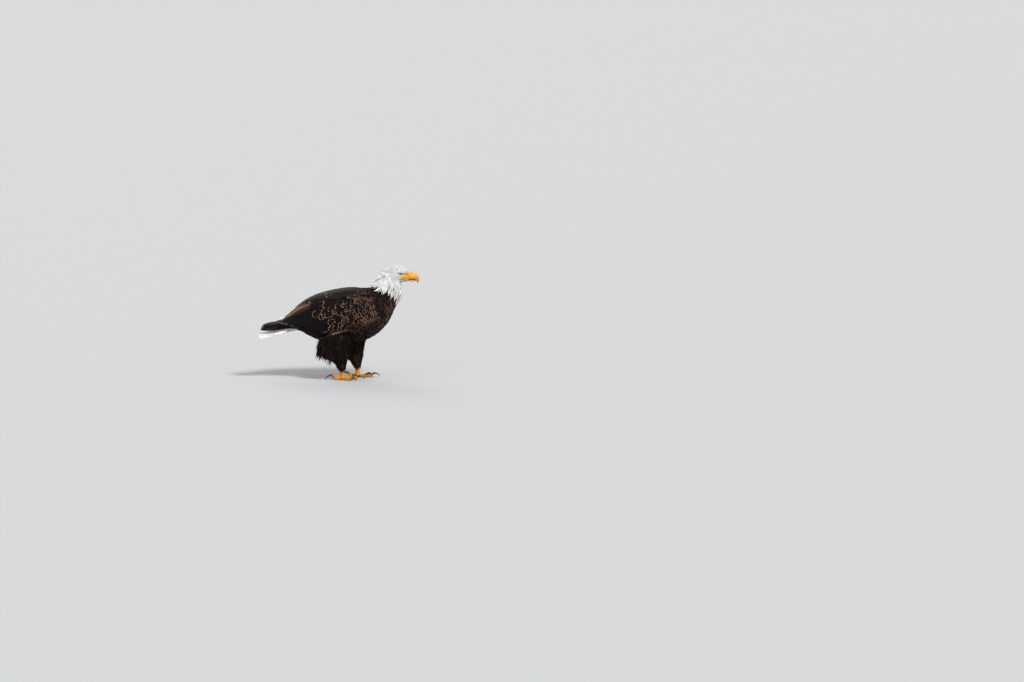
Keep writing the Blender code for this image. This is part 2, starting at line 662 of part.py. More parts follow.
def build_foot(side, sign, foot_x, group, materials):
    """Bare shin and four toes joined in one body, with a claw before each toe."""
    ankle = np.array([foot_x, sign * LEG_APART, 0.0])
    height, radius = np.array(SHIN).T
    foot = tube("foot_" + side, ankle + UP * height[:, None], radius, group,
                materials["foot_skin"], resolution=3)
    for toe, (degrees, length, root_radius, tip_radius, chord) in TOES.items():
        heading = sign * math.radians(degrees)
        path, radii, rising = toe_path(ankle, heading, length, root_radius, tip_radius, chord)
        digit = tube("toe", path, radii, group, materials["foot_skin"])
        combine(foot, digit, "UNION")
        bpy.data.objects.remove(digit, do_unlink=True)
        start = path[-1] + rising * 1.3 * CLEARANCE
        claw, taper = claw_path(start, heading, chord, CLAW_ROOT * tip_radius)
        tube(f"claw_{toe}_{side}", claw, taper, group, materials["claw_horn"])
    press_flat(foot.data)
    return foot


def press_flat(mesh):
    """Sets every point that is under the floor on the floor, which gives the pads their flats."""
    for vertex in mesh.vertices:
        vertex.co.z = max(vertex.co.z, 0.0)


# ---------------------------------------------------------------- assembly
def centre_on_floor(group):
    """Moves every mesh so that the bird's box stands centred on the origin."""
    corners = np.array([v.co for piece in group.objects for v in piece.data.vertices])
    low, high = corners.min(axis=0), corners.max(axis=0)
    shift = Vector((-(low[0] + high[0]) / 2, -(low[1] + high[1]) / 2, -low[2]))
    for mesh in {piece.data for piece in group.objects}:
        for vertex in mesh.vertices:
            vertex.co += shift


def main():
    clear_scene()
    bird = new_collection("bald_eagle")
    tools = new_collection("cutters")
    materials = {name: make_material(name) for name in MATERIALS}
    trunk = build_body(bird, tools, materials)
    build_bill(bird, materials)
    wings = build_wings(bird, materials)
    tail = build_tail(bird, materials["white_feather"])
    trunk_cutter = swollen_cutter(trunk, tools)
    combine(tail, trunk_cutter, "DIFFERENCE")
    tail_cutter = swollen_cutter(tail, tools)
    neck_cutter = tools.objects["cutter_neck"]
    for side, sign, foot_x in (("left", 1, LEFT_FOOT_X), ("right", -1, RIGHT_FOOT_X)):
        leg = build_leg(side, sign, foot_x, bird, materials["dark_feather"])
        combine(leg, trunk_cutter, "DIFFERENCE")
        leg_cutter = swollen_cutter(leg, tools)
        for layer in ("wing_", "secondaries_", "primaries_"):
            combine(wings[layer + side], trunk_cutter, "DIFFERENCE")
            combine(wings[layer + side], tail_cutter, "DIFFERENCE")
        combine(wings["wing_" + side], leg_cutter, "DIFFERENCE")
        combine(wings["wing_" + side], neck_cutter, "DIFFERENCE")
        build_foot(side, sign, foot_x, bird, materials)
    centre_on_floor(bird)


main()
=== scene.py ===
"""A bald eagle at life size, crouched on its toes with folded wings and its head held high.

The bird faces +X and its left side is +Y. One skin lies under a coat of solid feather vanes, which
are grown along the lie of the coat on smooth surfaces that follow the named solids.
"""
import logging
import math
from dataclasses import dataclass, field, replace
from enum import Enum
from typing import Callable, Iterable, Sequence

import bmesh
import bpy
import numpy as np
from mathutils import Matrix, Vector


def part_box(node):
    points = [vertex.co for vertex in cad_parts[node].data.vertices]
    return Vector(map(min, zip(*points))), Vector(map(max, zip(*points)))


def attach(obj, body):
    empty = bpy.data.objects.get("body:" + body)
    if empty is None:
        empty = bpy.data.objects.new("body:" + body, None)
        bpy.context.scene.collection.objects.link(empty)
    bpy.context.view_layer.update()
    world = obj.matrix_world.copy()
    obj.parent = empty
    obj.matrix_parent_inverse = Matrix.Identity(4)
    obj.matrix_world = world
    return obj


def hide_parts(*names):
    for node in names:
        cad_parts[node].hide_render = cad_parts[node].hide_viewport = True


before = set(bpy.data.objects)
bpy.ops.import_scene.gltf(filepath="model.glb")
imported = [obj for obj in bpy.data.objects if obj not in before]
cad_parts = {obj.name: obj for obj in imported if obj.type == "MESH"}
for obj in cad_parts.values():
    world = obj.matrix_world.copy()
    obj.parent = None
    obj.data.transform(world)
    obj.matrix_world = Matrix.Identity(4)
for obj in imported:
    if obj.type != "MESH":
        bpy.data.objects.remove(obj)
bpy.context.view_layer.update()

log = logging.getLogger("eagle")
Array = np.ndarray
Flow = Callable[["Places"], Array]
Part = tuple[Array, Array, Array]
Finishes = dict[str, bpy.types.Material]
Sockets = dict[str, bpy.types.NodeSocket]
Pitches = Callable[[Array, Array], tuple[Array, Array]]
Section = Callable[[Array, Array], tuple[Array, Array]]

UP = np.array([0.0, 0.0, 1.0])
FORWARD = np.array([1.0, 0.0, 0.0])
TURN = 2 * math.pi


class Side(Enum):
    """The bird's own left and right."""

    LEFT = 1
    RIGHT = -1

    @property
    def word(self) -> str:
        """Ending for the names of pieces and solids."""
        return self.name.lower()

    @property
    def sign(self) -> float:
        """+1 on the left, -1 on the right."""
        return float(self.value)


# ---------------------------------------------------------------- the bird's measures
BODY_SECTIONS = [
    # top (x, z), bottom (x, z), half-width: tail root to bill base
    ((-0.205, 0.272), (-0.185, 0.232), 0.030), ((-0.165, 0.300), (-0.140, 0.205), 0.048),
    ((-0.105, 0.352), (-0.085, 0.182), 0.066), ((-0.030, 0.393), (-0.020, 0.170), 0.080),
    ((0.050, 0.418), (0.060, 0.172), 0.086), ((0.105, 0.426), (0.150, 0.195), 0.084),
    ((0.135, 0.4265), (0.222, 0.255), 0.078), ((0.155, 0.4320), (0.268, 0.345), 0.067),
    ((0.178, 0.4620), (0.2945, 0.395), 0.055), ((0.200, 0.4885), (0.2955, 0.432), 0.048),
    ((0.2265, 0.5125), (0.2905, 0.4535), 0.0430), ((0.263, 0.5335), (0.299, 0.4570), 0.0400),
    ((0.299, 0.5305), (0.309, 0.4580), 0.0355), ((0.3215, 0.5140), (0.319, 0.4590), 0.0255),
    ((0.3300, 0.5040), (0.3252, 0.4600), 0.0172),
]
EYE_CENTRE = np.array([0.2955, 0.0255, 0.4995])
EYE_RADIUS = 0.0095
BILL_UPPER = [
    ((0.3300, 0.5035), (0.3262, 0.4690), 0.0165), ((0.3420, 0.5035), (0.3395, 0.4682), 0.0150),
    ((0.3540, 0.5003), (0.3515, 0.4672), 0.0130), ((0.3648, 0.4938), (0.3602, 0.4655), 0.0108),
    ((0.3730, 0.4845), (0.3648, 0.4625), 0.0082), ((0.3768, 0.4735), (0.3670, 0.4590), 0.0057),
    ((0.3755, 0.4620), (0.3672, 0.4552), 0.0034), ((0.3705, 0.4520), (0.3680, 0.4508), 0.0010),
]
BILL_LOWER = [
    ((0.3262, 0.4683), (0.3252, 0.4600), 0.0140), ((0.3390, 0.4677), (0.3390, 0.4588), 0.0125),
    ((0.3500, 0.4668), (0.3500, 0.4592), 0.0100), ((0.3578, 0.4656), (0.3572, 0.4612), 0.0065),
    ((0.3622, 0.4643), (0.3617, 0.4632), 0.0025),
]
WING_SECTIONS = [
    # lower edge, upper edge, y of the bulge between them: wrist to wing tip
    ((0.222, 0.066, 0.283), (0.158, 0.034, 0.408), 0.087),
    ((0.180, 0.080, 0.258), (0.112, 0.028, 0.424), 0.103),
    ((0.112, 0.088, 0.232), (0.050, 0.022, 0.426), 0.115),
    ((0.030, 0.086, 0.219), (-0.040, 0.016, 0.410), 0.113),
    ((-0.060, 0.078, 0.209), (-0.130, 0.012, 0.382), 0.100),
    ((-0.140, 0.067, 0.211), (-0.205, 0.010, 0.331), 0.080),
    ((-0.230, 0.057, 0.2395), (-0.265, 0.010, 0.283), 0.063),
    ((-0.310, 0.047, 0.2275), (-0.330, 0.014, 0.268), 0.050),
    ((-0.367, 0.038, 0.2175), (-0.374, 0.020, 0.252), 0.034),
]
TAIL_ROOT, TAIL_TIP = (-0.1975, 0.246), (-0.381, 0.2115)
TAIL_ARCH = 0.024
TAIL_SECTIONS = [(0.0195, 0.029), (0.0110, 0.038), (0.0052, 0.043), (0.0026, 0.047),
                 (0.0013, 0.050)]
LEG_SECTIONS = [(0.262, 0.030, 0.020, 0.012), (0.245, 0.026, 0.060, 0.026),
                (0.200, -0.009, 0.073, 0.037), (0.150, -0.025, 0.074, 0.036),
                (0.120, -0.018, 0.063, 0.029), (0.095, 0.004, 0.038, 0.022),
                (0.076, 0.012, 0.0235, 0.0182), (0.0560, 0.015, 0.0165, 0.0150)]
LEG_APART = 0.055
FOOT_X = {Side.LEFT: 0.085, Side.RIGHT: 0.015}


@dataclass(frozen=True)
class Toe:
    """A toe's heading in degrees, its length, its radius at root and tip, and its claw's chord."""

    degrees: float
    length: float
    root: float
    tip: float
    chord: float


TOES = {
    "middle": Toe(2.0, 0.072, 0.0088, 0.0066, 0.034),
    "inner": Toe(-30.0, 0.050, 0.0092, 0.0070, 0.038),
    "outer": Toe(36.0, 0.057, 0.0082, 0.0060, 0.028),
    "hind": Toe(176.0, 0.040, 0.0094, 0.0072, 0.042),
}
CLAW_PITCH, CLAW_TURN = math.radians(30), math.radians(105)
SHIFT_X = sum(corner[0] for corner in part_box("eye_left")) / 2 - EYE_CENTRE[0]


# ---------------------------------------------------------------- small sums
def smooth_track(values: Sequence, at: Array) -> Array:
    """Catmull-Rom track through rows of values, which runs on straight past either end.

    Args:
        values: one row of numbers for each whole place 0, 1, 2...
        at: places to read, in an array of any shape.

    Returns:
        The rows at those places; the last axis holds a row's numbers.
    """
    rows = np.asarray(values, float)
    padded = np.vstack([2 * rows[0] - rows[1], rows, 2 * rows[-1] - rows[-2]])
    at = np.asarray(at, float)
    inside = np.clip(at, 0.0, len(rows) - 1.0)
    low = np.minimum(inside.astype(int), len(rows) - 2)
    t = (inside - low)[..., None]
    a, b, c, d = (padded[low + k] for k in range(4))
    square, cube = 2 * a - 5 * b + 4 * c - d, 3 * b - a - 3 * c + d
    value = 0.5 * (2 * b + (c - a) * t + square * t ** 2 + cube * t ** 3)
    slope = 0.5 * ((c - a) + 2 * square * t + 3 * cube * t ** 2)
    return value + slope * (at - inside)[..., None]


def smooth_curve(values: Sequence[float], at: Array) -> Array:
    """Catmull-Rom curve through single numbers."""
    return smooth_track(np.asarray(values)[:, None], at)[..., 0]


def unit(vectors: Array) -> Array:
    """The vectors at length one."""
    return vectors / np.maximum(np.linalg.norm(vectors, axis=-1, keepdims=True), 1e-12)


def ease(low: float, high: float, value: Array) -> Array:
    """Smooth step from 0 at low to 1 at high, which may be the lower number."""
    t = np.clip((np.asarray(value, float) - low) / (high - low), 0.0, 1.0)
    return t * t * (3.0 - 2.0 * t)


def dome(distance: Array, spread: float) -> Array:
    """Bell curve of a distance."""
    return np.exp(-(distance / spread) ** 2)


def spot(across: Array, over: Array) -> Array:
    """Round bell over two distances, each as a share of its spread."""
    return np.exp(-across ** 2 - over ** 2)


def mixed(low: Array, high: Array, share: Array) -> Array:
    """Straight mix of two values."""
    return low + (high - low) * share


def ring_angles(count: int) -> Array:
    """Angles evenly spaced round a full turn."""
    return np.linspace(0.0, TURN, count, endpoint=False)


def tube_grid(low: float, high: float, rows: int, around: int) -> tuple[Array, Array]:
    """Parameters of a tube's rings: u from low to high by rows, v round each ring."""
    return np.meshgrid(np.linspace(low, high, rows), ring_angles(around), indexing="ij")


# ---------------------------------------------------------------- surfaces under the coat
@dataclass
class Places:
    """Places on a surface: parameters, points, steps along each parameter and outward normals."""

    u: Array
    v: Array
    point: Array
    along_u: Array
    along_v: Array
    normal: Array


class Surface:
    """A smooth surface of two parameters that a coat can grow on."""

    outward: float = 1.0
    nudge: float = 0.01

    def point(self, u: Array, v: Array) -> Array:
        """Points at the parameters."""
        raise NotImplementedError

    def places(self, u: Array, v: Array) -> Places:
        """Points with their slopes, from short steps each way along both parameters."""
        h = self.nudge
        before, after = self.point(u - h, v), self.point(u + h, v)
        along_u = (after - before) / (2 * h)
        along_v = (self.point(u, v + h) - self.point(u, v - h)) / (2 * h)
        normal = unit(np.cross(along_u, along_v)) * self.outward
        return Places(u, v, (before + after) / 2, along_u, along_v, normal)

    @staticmethod
    def steps(places: Places, direction: Array) -> tuple[Array, Array]:
        """Parameter steps that move one metre along a direction, laid into the surface.

        It solves the 2 by 2 system of the surface's own slopes.
        """
        e = (places.along_u ** 2).sum(-1)
        f = (places.along_u * places.along_v).sum(-1)
        g = (places.along_v ** 2).sum(-1)
        p = (direction * places.along_u).sum(-1)
        q = (direction * places.along_v).sum(-1)
        det = np.maximum(e * g - f * f, 1e-14)
        return (g * p - f * q) / det, (e * q - f * p) / det


def head_relief(points: Array) -> Array:
    """Sideways shift of the face: hollows at the eye and before it, and the brow ridge."""
    x, y, z = points[..., 0], np.abs(points[..., 1]), points[..., 2]
    orbit = -0.0058 * np.exp(-((x - EYE_CENTRE[0]) ** 2 + (z - EYE_CENTRE[2]) ** 2) / 0.0125 ** 2)
    lore = -0.0030 * spot((x - 0.315) / 0.009, (z - 0.494) / 0.008)
    brow = 0.0036 * spot((x - 0.301) / 0.015, (z - 0.5105) / 0.0050)
    shift = (orbit + lore + brow) * np.clip(y / 0.012, 0.0, 1.0) * np.sign(points[..., 1])
    return np.stack([np.zeros_like(x), shift, np.zeros_like(x)], axis=-1)


class BodySurface(Surface):
    """Outside of trunk, neck and head: u runs 0 to 14 from tail to bill, v is the angle from up.

    Each ring is an oval between its top and bottom points, wider above its middle on the trunk.
    """

    table = np.array([(*top, *bottom, half) for top, bottom, half in BODY_SECTIONS])

    def point(self, u: Array, v: Array) -> Array:
        """Centre + axis · cos v, and half-width · sin v · (1 + egg · cos v) to the side."""
        track = smooth_track(self.table, u)
        top, bottom, half = track[..., 0:2], track[..., 2:4], track[..., 4]
        rise, side = np.cos(v), np.sin(v)
        spine = (top + bottom) / 2 + (top - bottom) / 2 * rise[..., None]
        egg = 0.12 * np.clip((8.0 - u) / 2.0, 0.0, 1.0)
        wide = half * side * (1.0 + egg * rise)
        points = np.stack([spine[..., 0], wide, spine[..., 1]], axis=-1)
        return points + head_relief(points)


class WingSurface(Surface):
    """Outer face of a folded wing: u runs 0 to 8 from wrist to tip, v from lower edge 0 to upper 1.

    Below the bulge it swells as a parabola, above it turns in as a quarter of an ellipse.
    """

    table = np.array([(*low, *high, bulge) for low, high, bulge in WING_SECTIONS])
    middle, height_there = 0.42, 0.45

    def __init__(self, side: Side) -> None:
        """Keeps the side."""
        self.sign = side.sign
        self.outward = side.sign

    def point(self, u: Array, v: Array) -> Array:
        """Between the edges in x and z by height, and out to the bulge in y."""
        track = smooth_track(self.table, u)
        low, high, bulge = track[..., 0:3], track[..., 3:6], track[..., 6]
        below = np.minimum(v / self.middle, 1.0)
        turn = np.clip((v - self.middle) / (1.0 - self.middle), 0.0, 1.25) * math.pi / 2
        upper = v >= self.middle
        height = np.where(upper, self.height_there + (1 - self.height_there) * np.sin(turn),
                          self.height_there * below)
        y = np.where(upper, mixed(high[..., 1], bulge, np.cos(turn)),
                     mixed(low[..., 1], bulge, 1.0 - (1.0 - below) ** 2))
        x, z = (mixed(low[..., k], high[..., k], height) for k in (0, 2))
        return np.stack([x, y * self.sign, z], axis=-1)


class LegSurface(Surface):
    """Outside of a feathered leg: u runs 0 to 7 downwards, v is the angle from straight ahead."""

    def __init__(self, side: Side) -> None:
        """Keeps the side and where its foot stands."""
        self.sign = side.sign
        self.foot_x = FOOT_X[side]

    def point(self, u: Array, v: Array) -> Array:
        """An upright stack of ovals."""
        track = smooth_track(LEG_SECTIONS, u)
        x = self.foot_x - 0.015 + track[..., 1] + track[..., 2] * np.cos(v)
        y = self.sign * LEG_APART + track[..., 3] * np.sin(v)
        return np.stack([x, y, track[..., 0] + 0.0 * v], axis=-1)


class SkirtSurface(Surface):
    """Where the thigh's hind feathers hang free: u runs 0 to 1 downwards, v as on the leg."""

    start = 3.0
    fall = np.array([-0.010, 0.0, -0.060])

    def __init__(self, side: Side) -> None:
        """Keeps the leg and its outward way."""
        self.leg = LegSurface(side)

    def point(self, u: Array, v: Array) -> Array:
        """Straight down from the thigh's fullest ring."""
        return self.leg.point(self.start + 0.0 * u, v) + u[..., None] * self.fall


class TailSurface(Surface):
    """Upper or lower face of the tail: u runs 0 to 1 from root to tip, v -1 right to 1 left."""

    nudge = 0.002

    def __init__(self, over: float) -> None:
        """Keeps +1 for the upper face or -1 for the lower."""
        self.over = over
        self.outward = -over

    def point(self, u: Array, v: Array) -> Array:
        """A sloping arched fan whose thickness fades to its edges."""
        track = smooth_track(TAIL_SECTIONS, u * 4.0)
        full = np.sqrt(np.clip(1.0 - np.abs(v) ** 3, 0.0, 1.0))
        x = mixed(TAIL_ROOT[0], TAIL_TIP[0], u) + 0.010 * np.clip(u, 0, None) ** 4 * v ** 2
        z = mixed(TAIL_ROOT[1], TAIL_TIP[1], u) - TAIL_ARCH * v ** 2 * np.clip(u * 1.5, 0.0, 1.0)
        return np.stack([x, track[..., 1] * v, z + self.over * track[..., 0] * full], axis=-1)


class TubeSurface(Surface):
    """A tapering tube along a path: u runs 0 to 1 along it, v is the angle from the top."""

    nudge = 0.004

    def __init__(self, path: Array, radius: Sequence[float], flip: float = 1.0,
                 outward: float = 1.0) -> None:
        """Keeps the path with its radii, -1 to mirror it, and the sign of its normals."""
        self.table = np.column_stack([path, radius])
        self.flip = flip
        self.outward = outward

    def point(self, u: Array, v: Array) -> Array:
        """Path + radius · (cos v · up + sin v · out)."""
        track = smooth_track(self.table, u * (len(self.table) - 1))
        points = track[..., 0:3].copy()
        radius = np.maximum(track[..., 3], 0.0002)
        points[..., 2] += 0.8 * radius * np.cos(v)
        points[..., 1] += radius * np.sin(v)
        points[..., 1] *= self.flip
        return points


# ---------------------------------------------------------------- vanes
# a vane leaves the skin fast and its curl comes late; its patch on the bake map is this large
LIFT_POWER, CURL_POWER = 0.8, 3
PATCH = 0.003


@dataclass(frozen=True)
class VaneForm:
    """Outline and section of one kind of feather, as shares of its length and width."""

    columns: int = 5
    rows: int = 8
    widest: float = 0.55
    tip_power: float = 2.2
    tip_root: float = 0.5
    stem: float = 0.45
    camber: float = 0.10
    ragged: float = 0.06
    roll: float = 0.08
    thickness: float = 0.0005
    gather: float = 1.7

    def shares(self) -> Array:
        """Shares of the length where the rows lie, closer together towards the tip."""
        return 1.0 - (1.0 - np.linspace(0.0, 1.0, self.rows)) ** self.gather

    def outline(self, share: Array) -> Array:
        """Half-width along the feather: a sine rise to the widest place, then a rounded tip."""
        climb = np.sin(np.minimum(share / self.widest, 1.0) * math.pi / 2)
        rise = self.stem + (1 - self.stem) * climb
        beyond = np.clip((share - self.widest) / (1.0 - self.widest), 0.0, 1.0)
        return rise * (1.0 - beyond ** self.tip_power) ** self.tip_root

    def faces(self) -> tuple[list[tuple[int, ...]], list[bool]]:
        """Faces of one vane, and whether each is on its upper side.

        Point 0 is the root and 1 the tip; each row between has its columns and a point below.
        """
        across, last = self.columns, self.rows - 2
        faces, upper = [], []

        def row(r: int, c: int) -> int:
            """Number of a point in a row; column -1 is the point below."""
            return 2 + (r - 1) * (across + 1) + (across if c < 0 else c)

        for c in range(across - 1):
            faces += [(0, row(1, c + 1), row(1, c)), (1, row(last, c), row(last, c + 1))]
            upper += [True, True]
        faces += [(0, row(1, 0), row(1, -1)), (0, row(1, -1), row(1, across - 1)),
                  (1, row(last, -1), row(last, 0)), (1, row(last, across - 1), row(last, -1))]
        upper += [False] * 4
        for r in range(1, last):
            for c in range(across - 1):
                faces.append((row(r, c), row(r, c + 1), row(r + 1, c + 1), row(r + 1, c)))
                upper.append(True)
            faces += [(row(r, -1), row(r, 0), row(r + 1, 0), row(r + 1, -1)),
                      (row(r, across - 1), row(r, -1), row(r + 1, -1), row(r + 1, across - 1))]
            upper += [False, False]
        return faces, upper


@dataclass
class Roots:
    """Where a set of feathers grows and how: one number in each array for each feather."""

    u: Array
    v: Array
    length: Array
    width: Array
    sink: Array
    rise: Array
    curl: Array
    twist: Array
    facts: dict[str, Array] = field(default_factory=dict)

    def only(self, keep: Array) -> "Roots":
        """The feathers that a mask keeps."""
        parts = {name: getattr(self, name)[keep] for name in
                 ("u", "v", "length", "width", "sink", "rise", "curl", "twist")}
        return Roots(**parts, facts={name: fact[keep] for name, fact in self.facts.items()})


@dataclass
class Vanes:
    """Grown feathers: points, the place of each point on its own vane, and their form."""

    form: VaneForm
    points: Array
    across: Array
    along: Array
    root: Array
    facts: dict[str, Array]


def laid(here: Places, direction: Array) -> Array:
    """A direction laid in the surface at its places, at length one."""
    return unit(direction - here.normal * (direction * here.normal).sum(-1, keepdims=True))


def grow(surface: Surface, roots: Roots, form: VaneForm, flow: Flow | None,
         rng: np.random.Generator,
         lines: Callable[[float], tuple[Array, Array]] | None = None) -> Vanes:
    """Grows vanes along a flow on a surface.

    Each vane's middle line is marched over the surface in short steps. Its height goes from -sink
    at the root to rise at the tip, so that each vane lies on those behind it, and the vane is
    domed across by its camber and rolled a little so that neighbours overlap one way.

    Args:
        surface: what the feathers lie on.
        roots: where they start, and their sizes.
        form: their outline.
        flow: gives the direction of growth at places on the surface.
        rng: source of the small unevenness of their edges.
        lines: gives the parameters at a share of the length instead, for quills with set ends.

    Returns:
        The grown vanes.
    """
    shares, count = form.shares(), len(roots.u)
    columns = np.linspace(-1.0, 1.0, form.columns)
    u, v = roots.u.copy(), roots.v.copy()
    points = np.zeros((count, 2 + (form.rows - 2) * (form.columns + 1), 3))
    across = np.zeros(points.shape[1])
    along = np.zeros(points.shape[1])
    cos, sin = np.cos(roots.twist)[:, None], np.sin(roots.twist)[:, None]
    for r, share in enumerate(shares):
        if lines:
            u, v = lines(share)
            here = surface.places(u, v)
            (u_on, v_on), (u_back, v_back) = lines(share + 0.01), lines(share - 0.01)
            direction = (here.along_u * (u_on - u_back)[:, None]
                         + here.along_v * (v_on - v_back)[:, None])
        else:
            here = surface.places(u, v)
            direction = flow(here)
        direction = laid(here, direction)
        direction = direction * cos + np.cross(here.normal, direction) * sin
        height = (-roots.sink + (roots.sink + roots.rise) * share ** LIFT_POWER
                  + roots.curl * share ** CURL_POWER)
        if r in (0, form.rows - 1):
            at = 0 if r == 0 else 1
            points[:, at] = here.point + here.normal * height[:, None]
            along[at] = share
        else:
            half = 0.5 * roots.width * form.outline(share)
            uneven = 1.0 - form.ragged * rng.random((count, 2)) * 2.0 * share
            sideways = np.cross(direction, here.normal)
            side_u, side_v = surface.steps(here, sideways)
            start = 2 + (r - 1) * (form.columns + 1)
            for c, place in enumerate(columns):
                reach = half * place * np.where(place < 0, uneven[:, 0], uneven[:, 1])
                lift = (height + form.camber * half * (1.0 - place ** 2)
                        + form.roll * half * place)
                ground = surface.point(u + side_u * reach, v + side_v * reach)
                points[:, start + c] = ground + here.normal * lift[:, None]
                across[start + c], along[start + c] = place, share
            below = start + form.columns
            middle = points[:, start + form.columns // 2]
            points[:, below] = middle - here.normal * form.thickness
            along[below] = share
        if r + 1 < form.rows and not lines:
            step_u, step_v = surface.steps(here, direction)
            stride = (shares[r + 1] - share) * roots.length
            u, v = u + step_u * stride, v + step_v * stride
    return Vanes(form, points, across, along, np.stack([roots.u, roots.v], axis=-1), roots.facts)


def rows_on(surface: Surface, u_span: tuple[float, float], v_span: tuple[float, float],
            pitches: Pitches, rng: np.random.Generator) -> tuple[Array, Array]:
    """Roots in rows on a surface, each row set half a pitch aside from the last one.

    A row's pitch across follows the length of the row. Where the surface's rows come closer than
    the pitch along, roots are left out at random in the same share.

    Args:
        surface: what the rows lie on.
        u_span: where the rows start and end.
        v_span: from where to where each row runs.
        pitches: gives the pitch along and across at parameters.
        rng: source of the scatter.

    Returns:
        The parameters u and v of the roots.
    """
    v = np.linspace(*v_span, 241)
    found_u, found_v, row, u = [], [], 0, u_span[0]
    while u < u_span[1]:
        here = surface.places(np.full_like(v, u), v)
        along, across = pitches(here.u, here.v)
        slope = np.linalg.norm(here.along_u, axis=-1)
        step = float(np.min(along / slope))
        dense = np.linalg.norm(here.along_v, axis=-1) / across
        total = np.concatenate([[0.0], np.cumsum((dense[1:] + dense[:-1]) / 2 * np.diff(v))])
        count = int(total[-1])
        at = np.arange(count) + 0.5 * (row % 2) + 0.25 + rng.uniform(-0.18, 0.18, count)
        where = np.interp(at, total, v)
        share = np.interp(where, v, step * slope / along)
        keep = rng.random(count) < share
        found_v.append(where[keep])
        found_u.append(np.full(keep.sum(), u) + rng.uniform(-0.22, 0.22, keep.sum()) * step)
        u, row = u + step, row + 1
    return np.concatenate(found_u), np.concatenate(found_v)


def vane_object(name: str, sets: Sequence[Vanes], materials: Sequence[bpy.types.Material],
                slots: Sequence[int] | None = None) -> bpy.types.Object:
    """Joins grown vanes in one mesh, with the vane's own map, the bake map and the facts.

    The bake map gives each vane a small patch at its root's place on the unrolled surface, which
    is stretched over the whole map.
    """
    slots = slots or [0] * len(sets)
    co, across, along, loops, sizes, smooth, slot_of, spread = [], [], [], [], [], [], [], []
    facts: dict[str, list[Array]] = {key: [] for key in sorted({k for s in sets for k in s.facts})}
    roots = np.vstack([s.root for s in sets])
    low, high = roots.min(axis=0), roots.max(axis=0)
    offset = 0
    for grown, slot in zip(sets, slots):
        count, per = grown.points.shape[:2]
        faces, upper = grown.form.faces()
        flat = np.concatenate([np.array(face) for face in faces])
        base = offset + np.arange(count)[:, None] * per
        co.append(grown.points.reshape(-1, 3))
        across.append(np.tile(grown.across, count))
        along.append(np.tile(grown.along, count))
        loops.append((base + flat[None, :]).ravel())
        sizes.append(np.tile([len(face) for face in faces], count))
        smooth.append(np.tile(upper, count))
        slot_of.append(np.full(count * len(faces), slot))
        place = 0.01 + 0.98 * (grown.root - low) / np.maximum(high - low, 1e-9)
        spread.append(np.repeat(place, per, axis=0))
        for key, values in facts.items():
            values.append(np.repeat(grown.facts.get(key, np.zeros(count)), per))
        offset += count * per
    mesh = raw_mesh(name, np.vstack(co), np.concatenate(loops), np.concatenate(sizes))
    mesh.polygons.foreach_set("use_smooth", np.concatenate(smooth))
    mesh.polygons.foreach_set("material_index", np.concatenate(slot_of).astype(np.int32))
    corner = np.concatenate(loops)
    a, t, patch = np.concatenate(across), np.concatenate(along), np.vstack(spread)
    add_map(mesh, "vane", np.stack([a * 0.5 + 0.5, t], axis=-1)[corner])
    tuft = patch + np.stack([a * (PATCH / 2), (t - 0.5) * PATCH], axis=-1)
    add_map(mesh, "OFBake", tuft[corner])
    add_facts(mesh, **{key: np.concatenate(values) for key, values in facts.items()})
    mesh.update()
    return finish_object(name, mesh, materials)


def raw_mesh(name: str, points: Array, loops: Array, sizes: Array) -> bpy.types.Mesh:
    """New mesh from points, the corners of all faces in one run, and the faces' sizes."""
    mesh = bpy.data.meshes.new(name)
    points = points + np.array([SHIFT_X, 0.0, 0.0])
    mesh.vertices.add(len(points))
    mesh.vertices.foreach_set("co", points.astype(np.float32).ravel())
    mesh.loops.add(len(loops))
    mesh.loops.foreach_set("vertex_index", loops.astype(np.int32))
    mesh.polygons.add(len(sizes))
    starts = np.concatenate([[0], np.cumsum(sizes)[:-1]])
    mesh.polygons.foreach_set("loop_start", starts.astype(np.int32))
    mesh.update(calc_edges=True)
    return mesh


def add_map(mesh: bpy.types.Mesh, name: str, corners: Array) -> None:
    """Adds a UV map from one pair of numbers for each corner."""
    layer = mesh.uv_layers.new(name=name)
    layer.data.foreach_set("uv", corners.astype(np.float32).ravel())


def add_facts(mesh: bpy.types.Mesh, **facts: Array) -> None:
    """Adds named facts, each one number for each point."""
    for name, values in facts.items():
        layer = mesh.attributes.new(name, "FLOAT", "POINT")
        layer.data.foreach_set("value", values.astype(np.float32).ravel())


def points_of(mesh: bpy.types.Mesh) -> Array:
    """The points of a mesh."""
    co = np.zeros(len(mesh.vertices) * 3, np.float32)
    mesh.vertices.foreach_get("co", co)
    return co.reshape(-1, 3).astype(float)


def finish_object(name: str, mesh: bpy.types.Mesh,
                  materials: Sequence[bpy.types.Material]) -> bpy.types.Object:
    """New object at the origin for a mesh with its materials."""
    for material in materials:
        mesh.materials.append(material)
    piece = bpy.data.objects.new(name, mesh)
    bpy.context.scene.collection.objects.link(piece)
    return piece


def hand_over(piece: bpy.types.Object, nodes: Iterable[str] = ()) -> None:
    """Rides a piece on the one body, and hides the solids that it replaces."""
    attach(piece, "root")
    if nodes:
        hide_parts(*nodes)
    log.info("%s: %d faces", piece.name, len(piece.data.polygons))


# ---------------------------------------------------------------- plain shapes
def ring_quads(rows: int, around: int, closed: bool = False) -> Array:
    """Corners of the faces between rings, and if closed also from the last ring to the first."""
    i, j = np.meshgrid(np.arange(rows if closed else rows - 1), np.arange(around), indexing="ij")
    on, beside = (i + 1) % rows, (j + 1) % around
    return np.stack([i * around + j, i * around + beside, on * around + beside, on * around + j],
                    axis=-1).reshape(-1, 4)


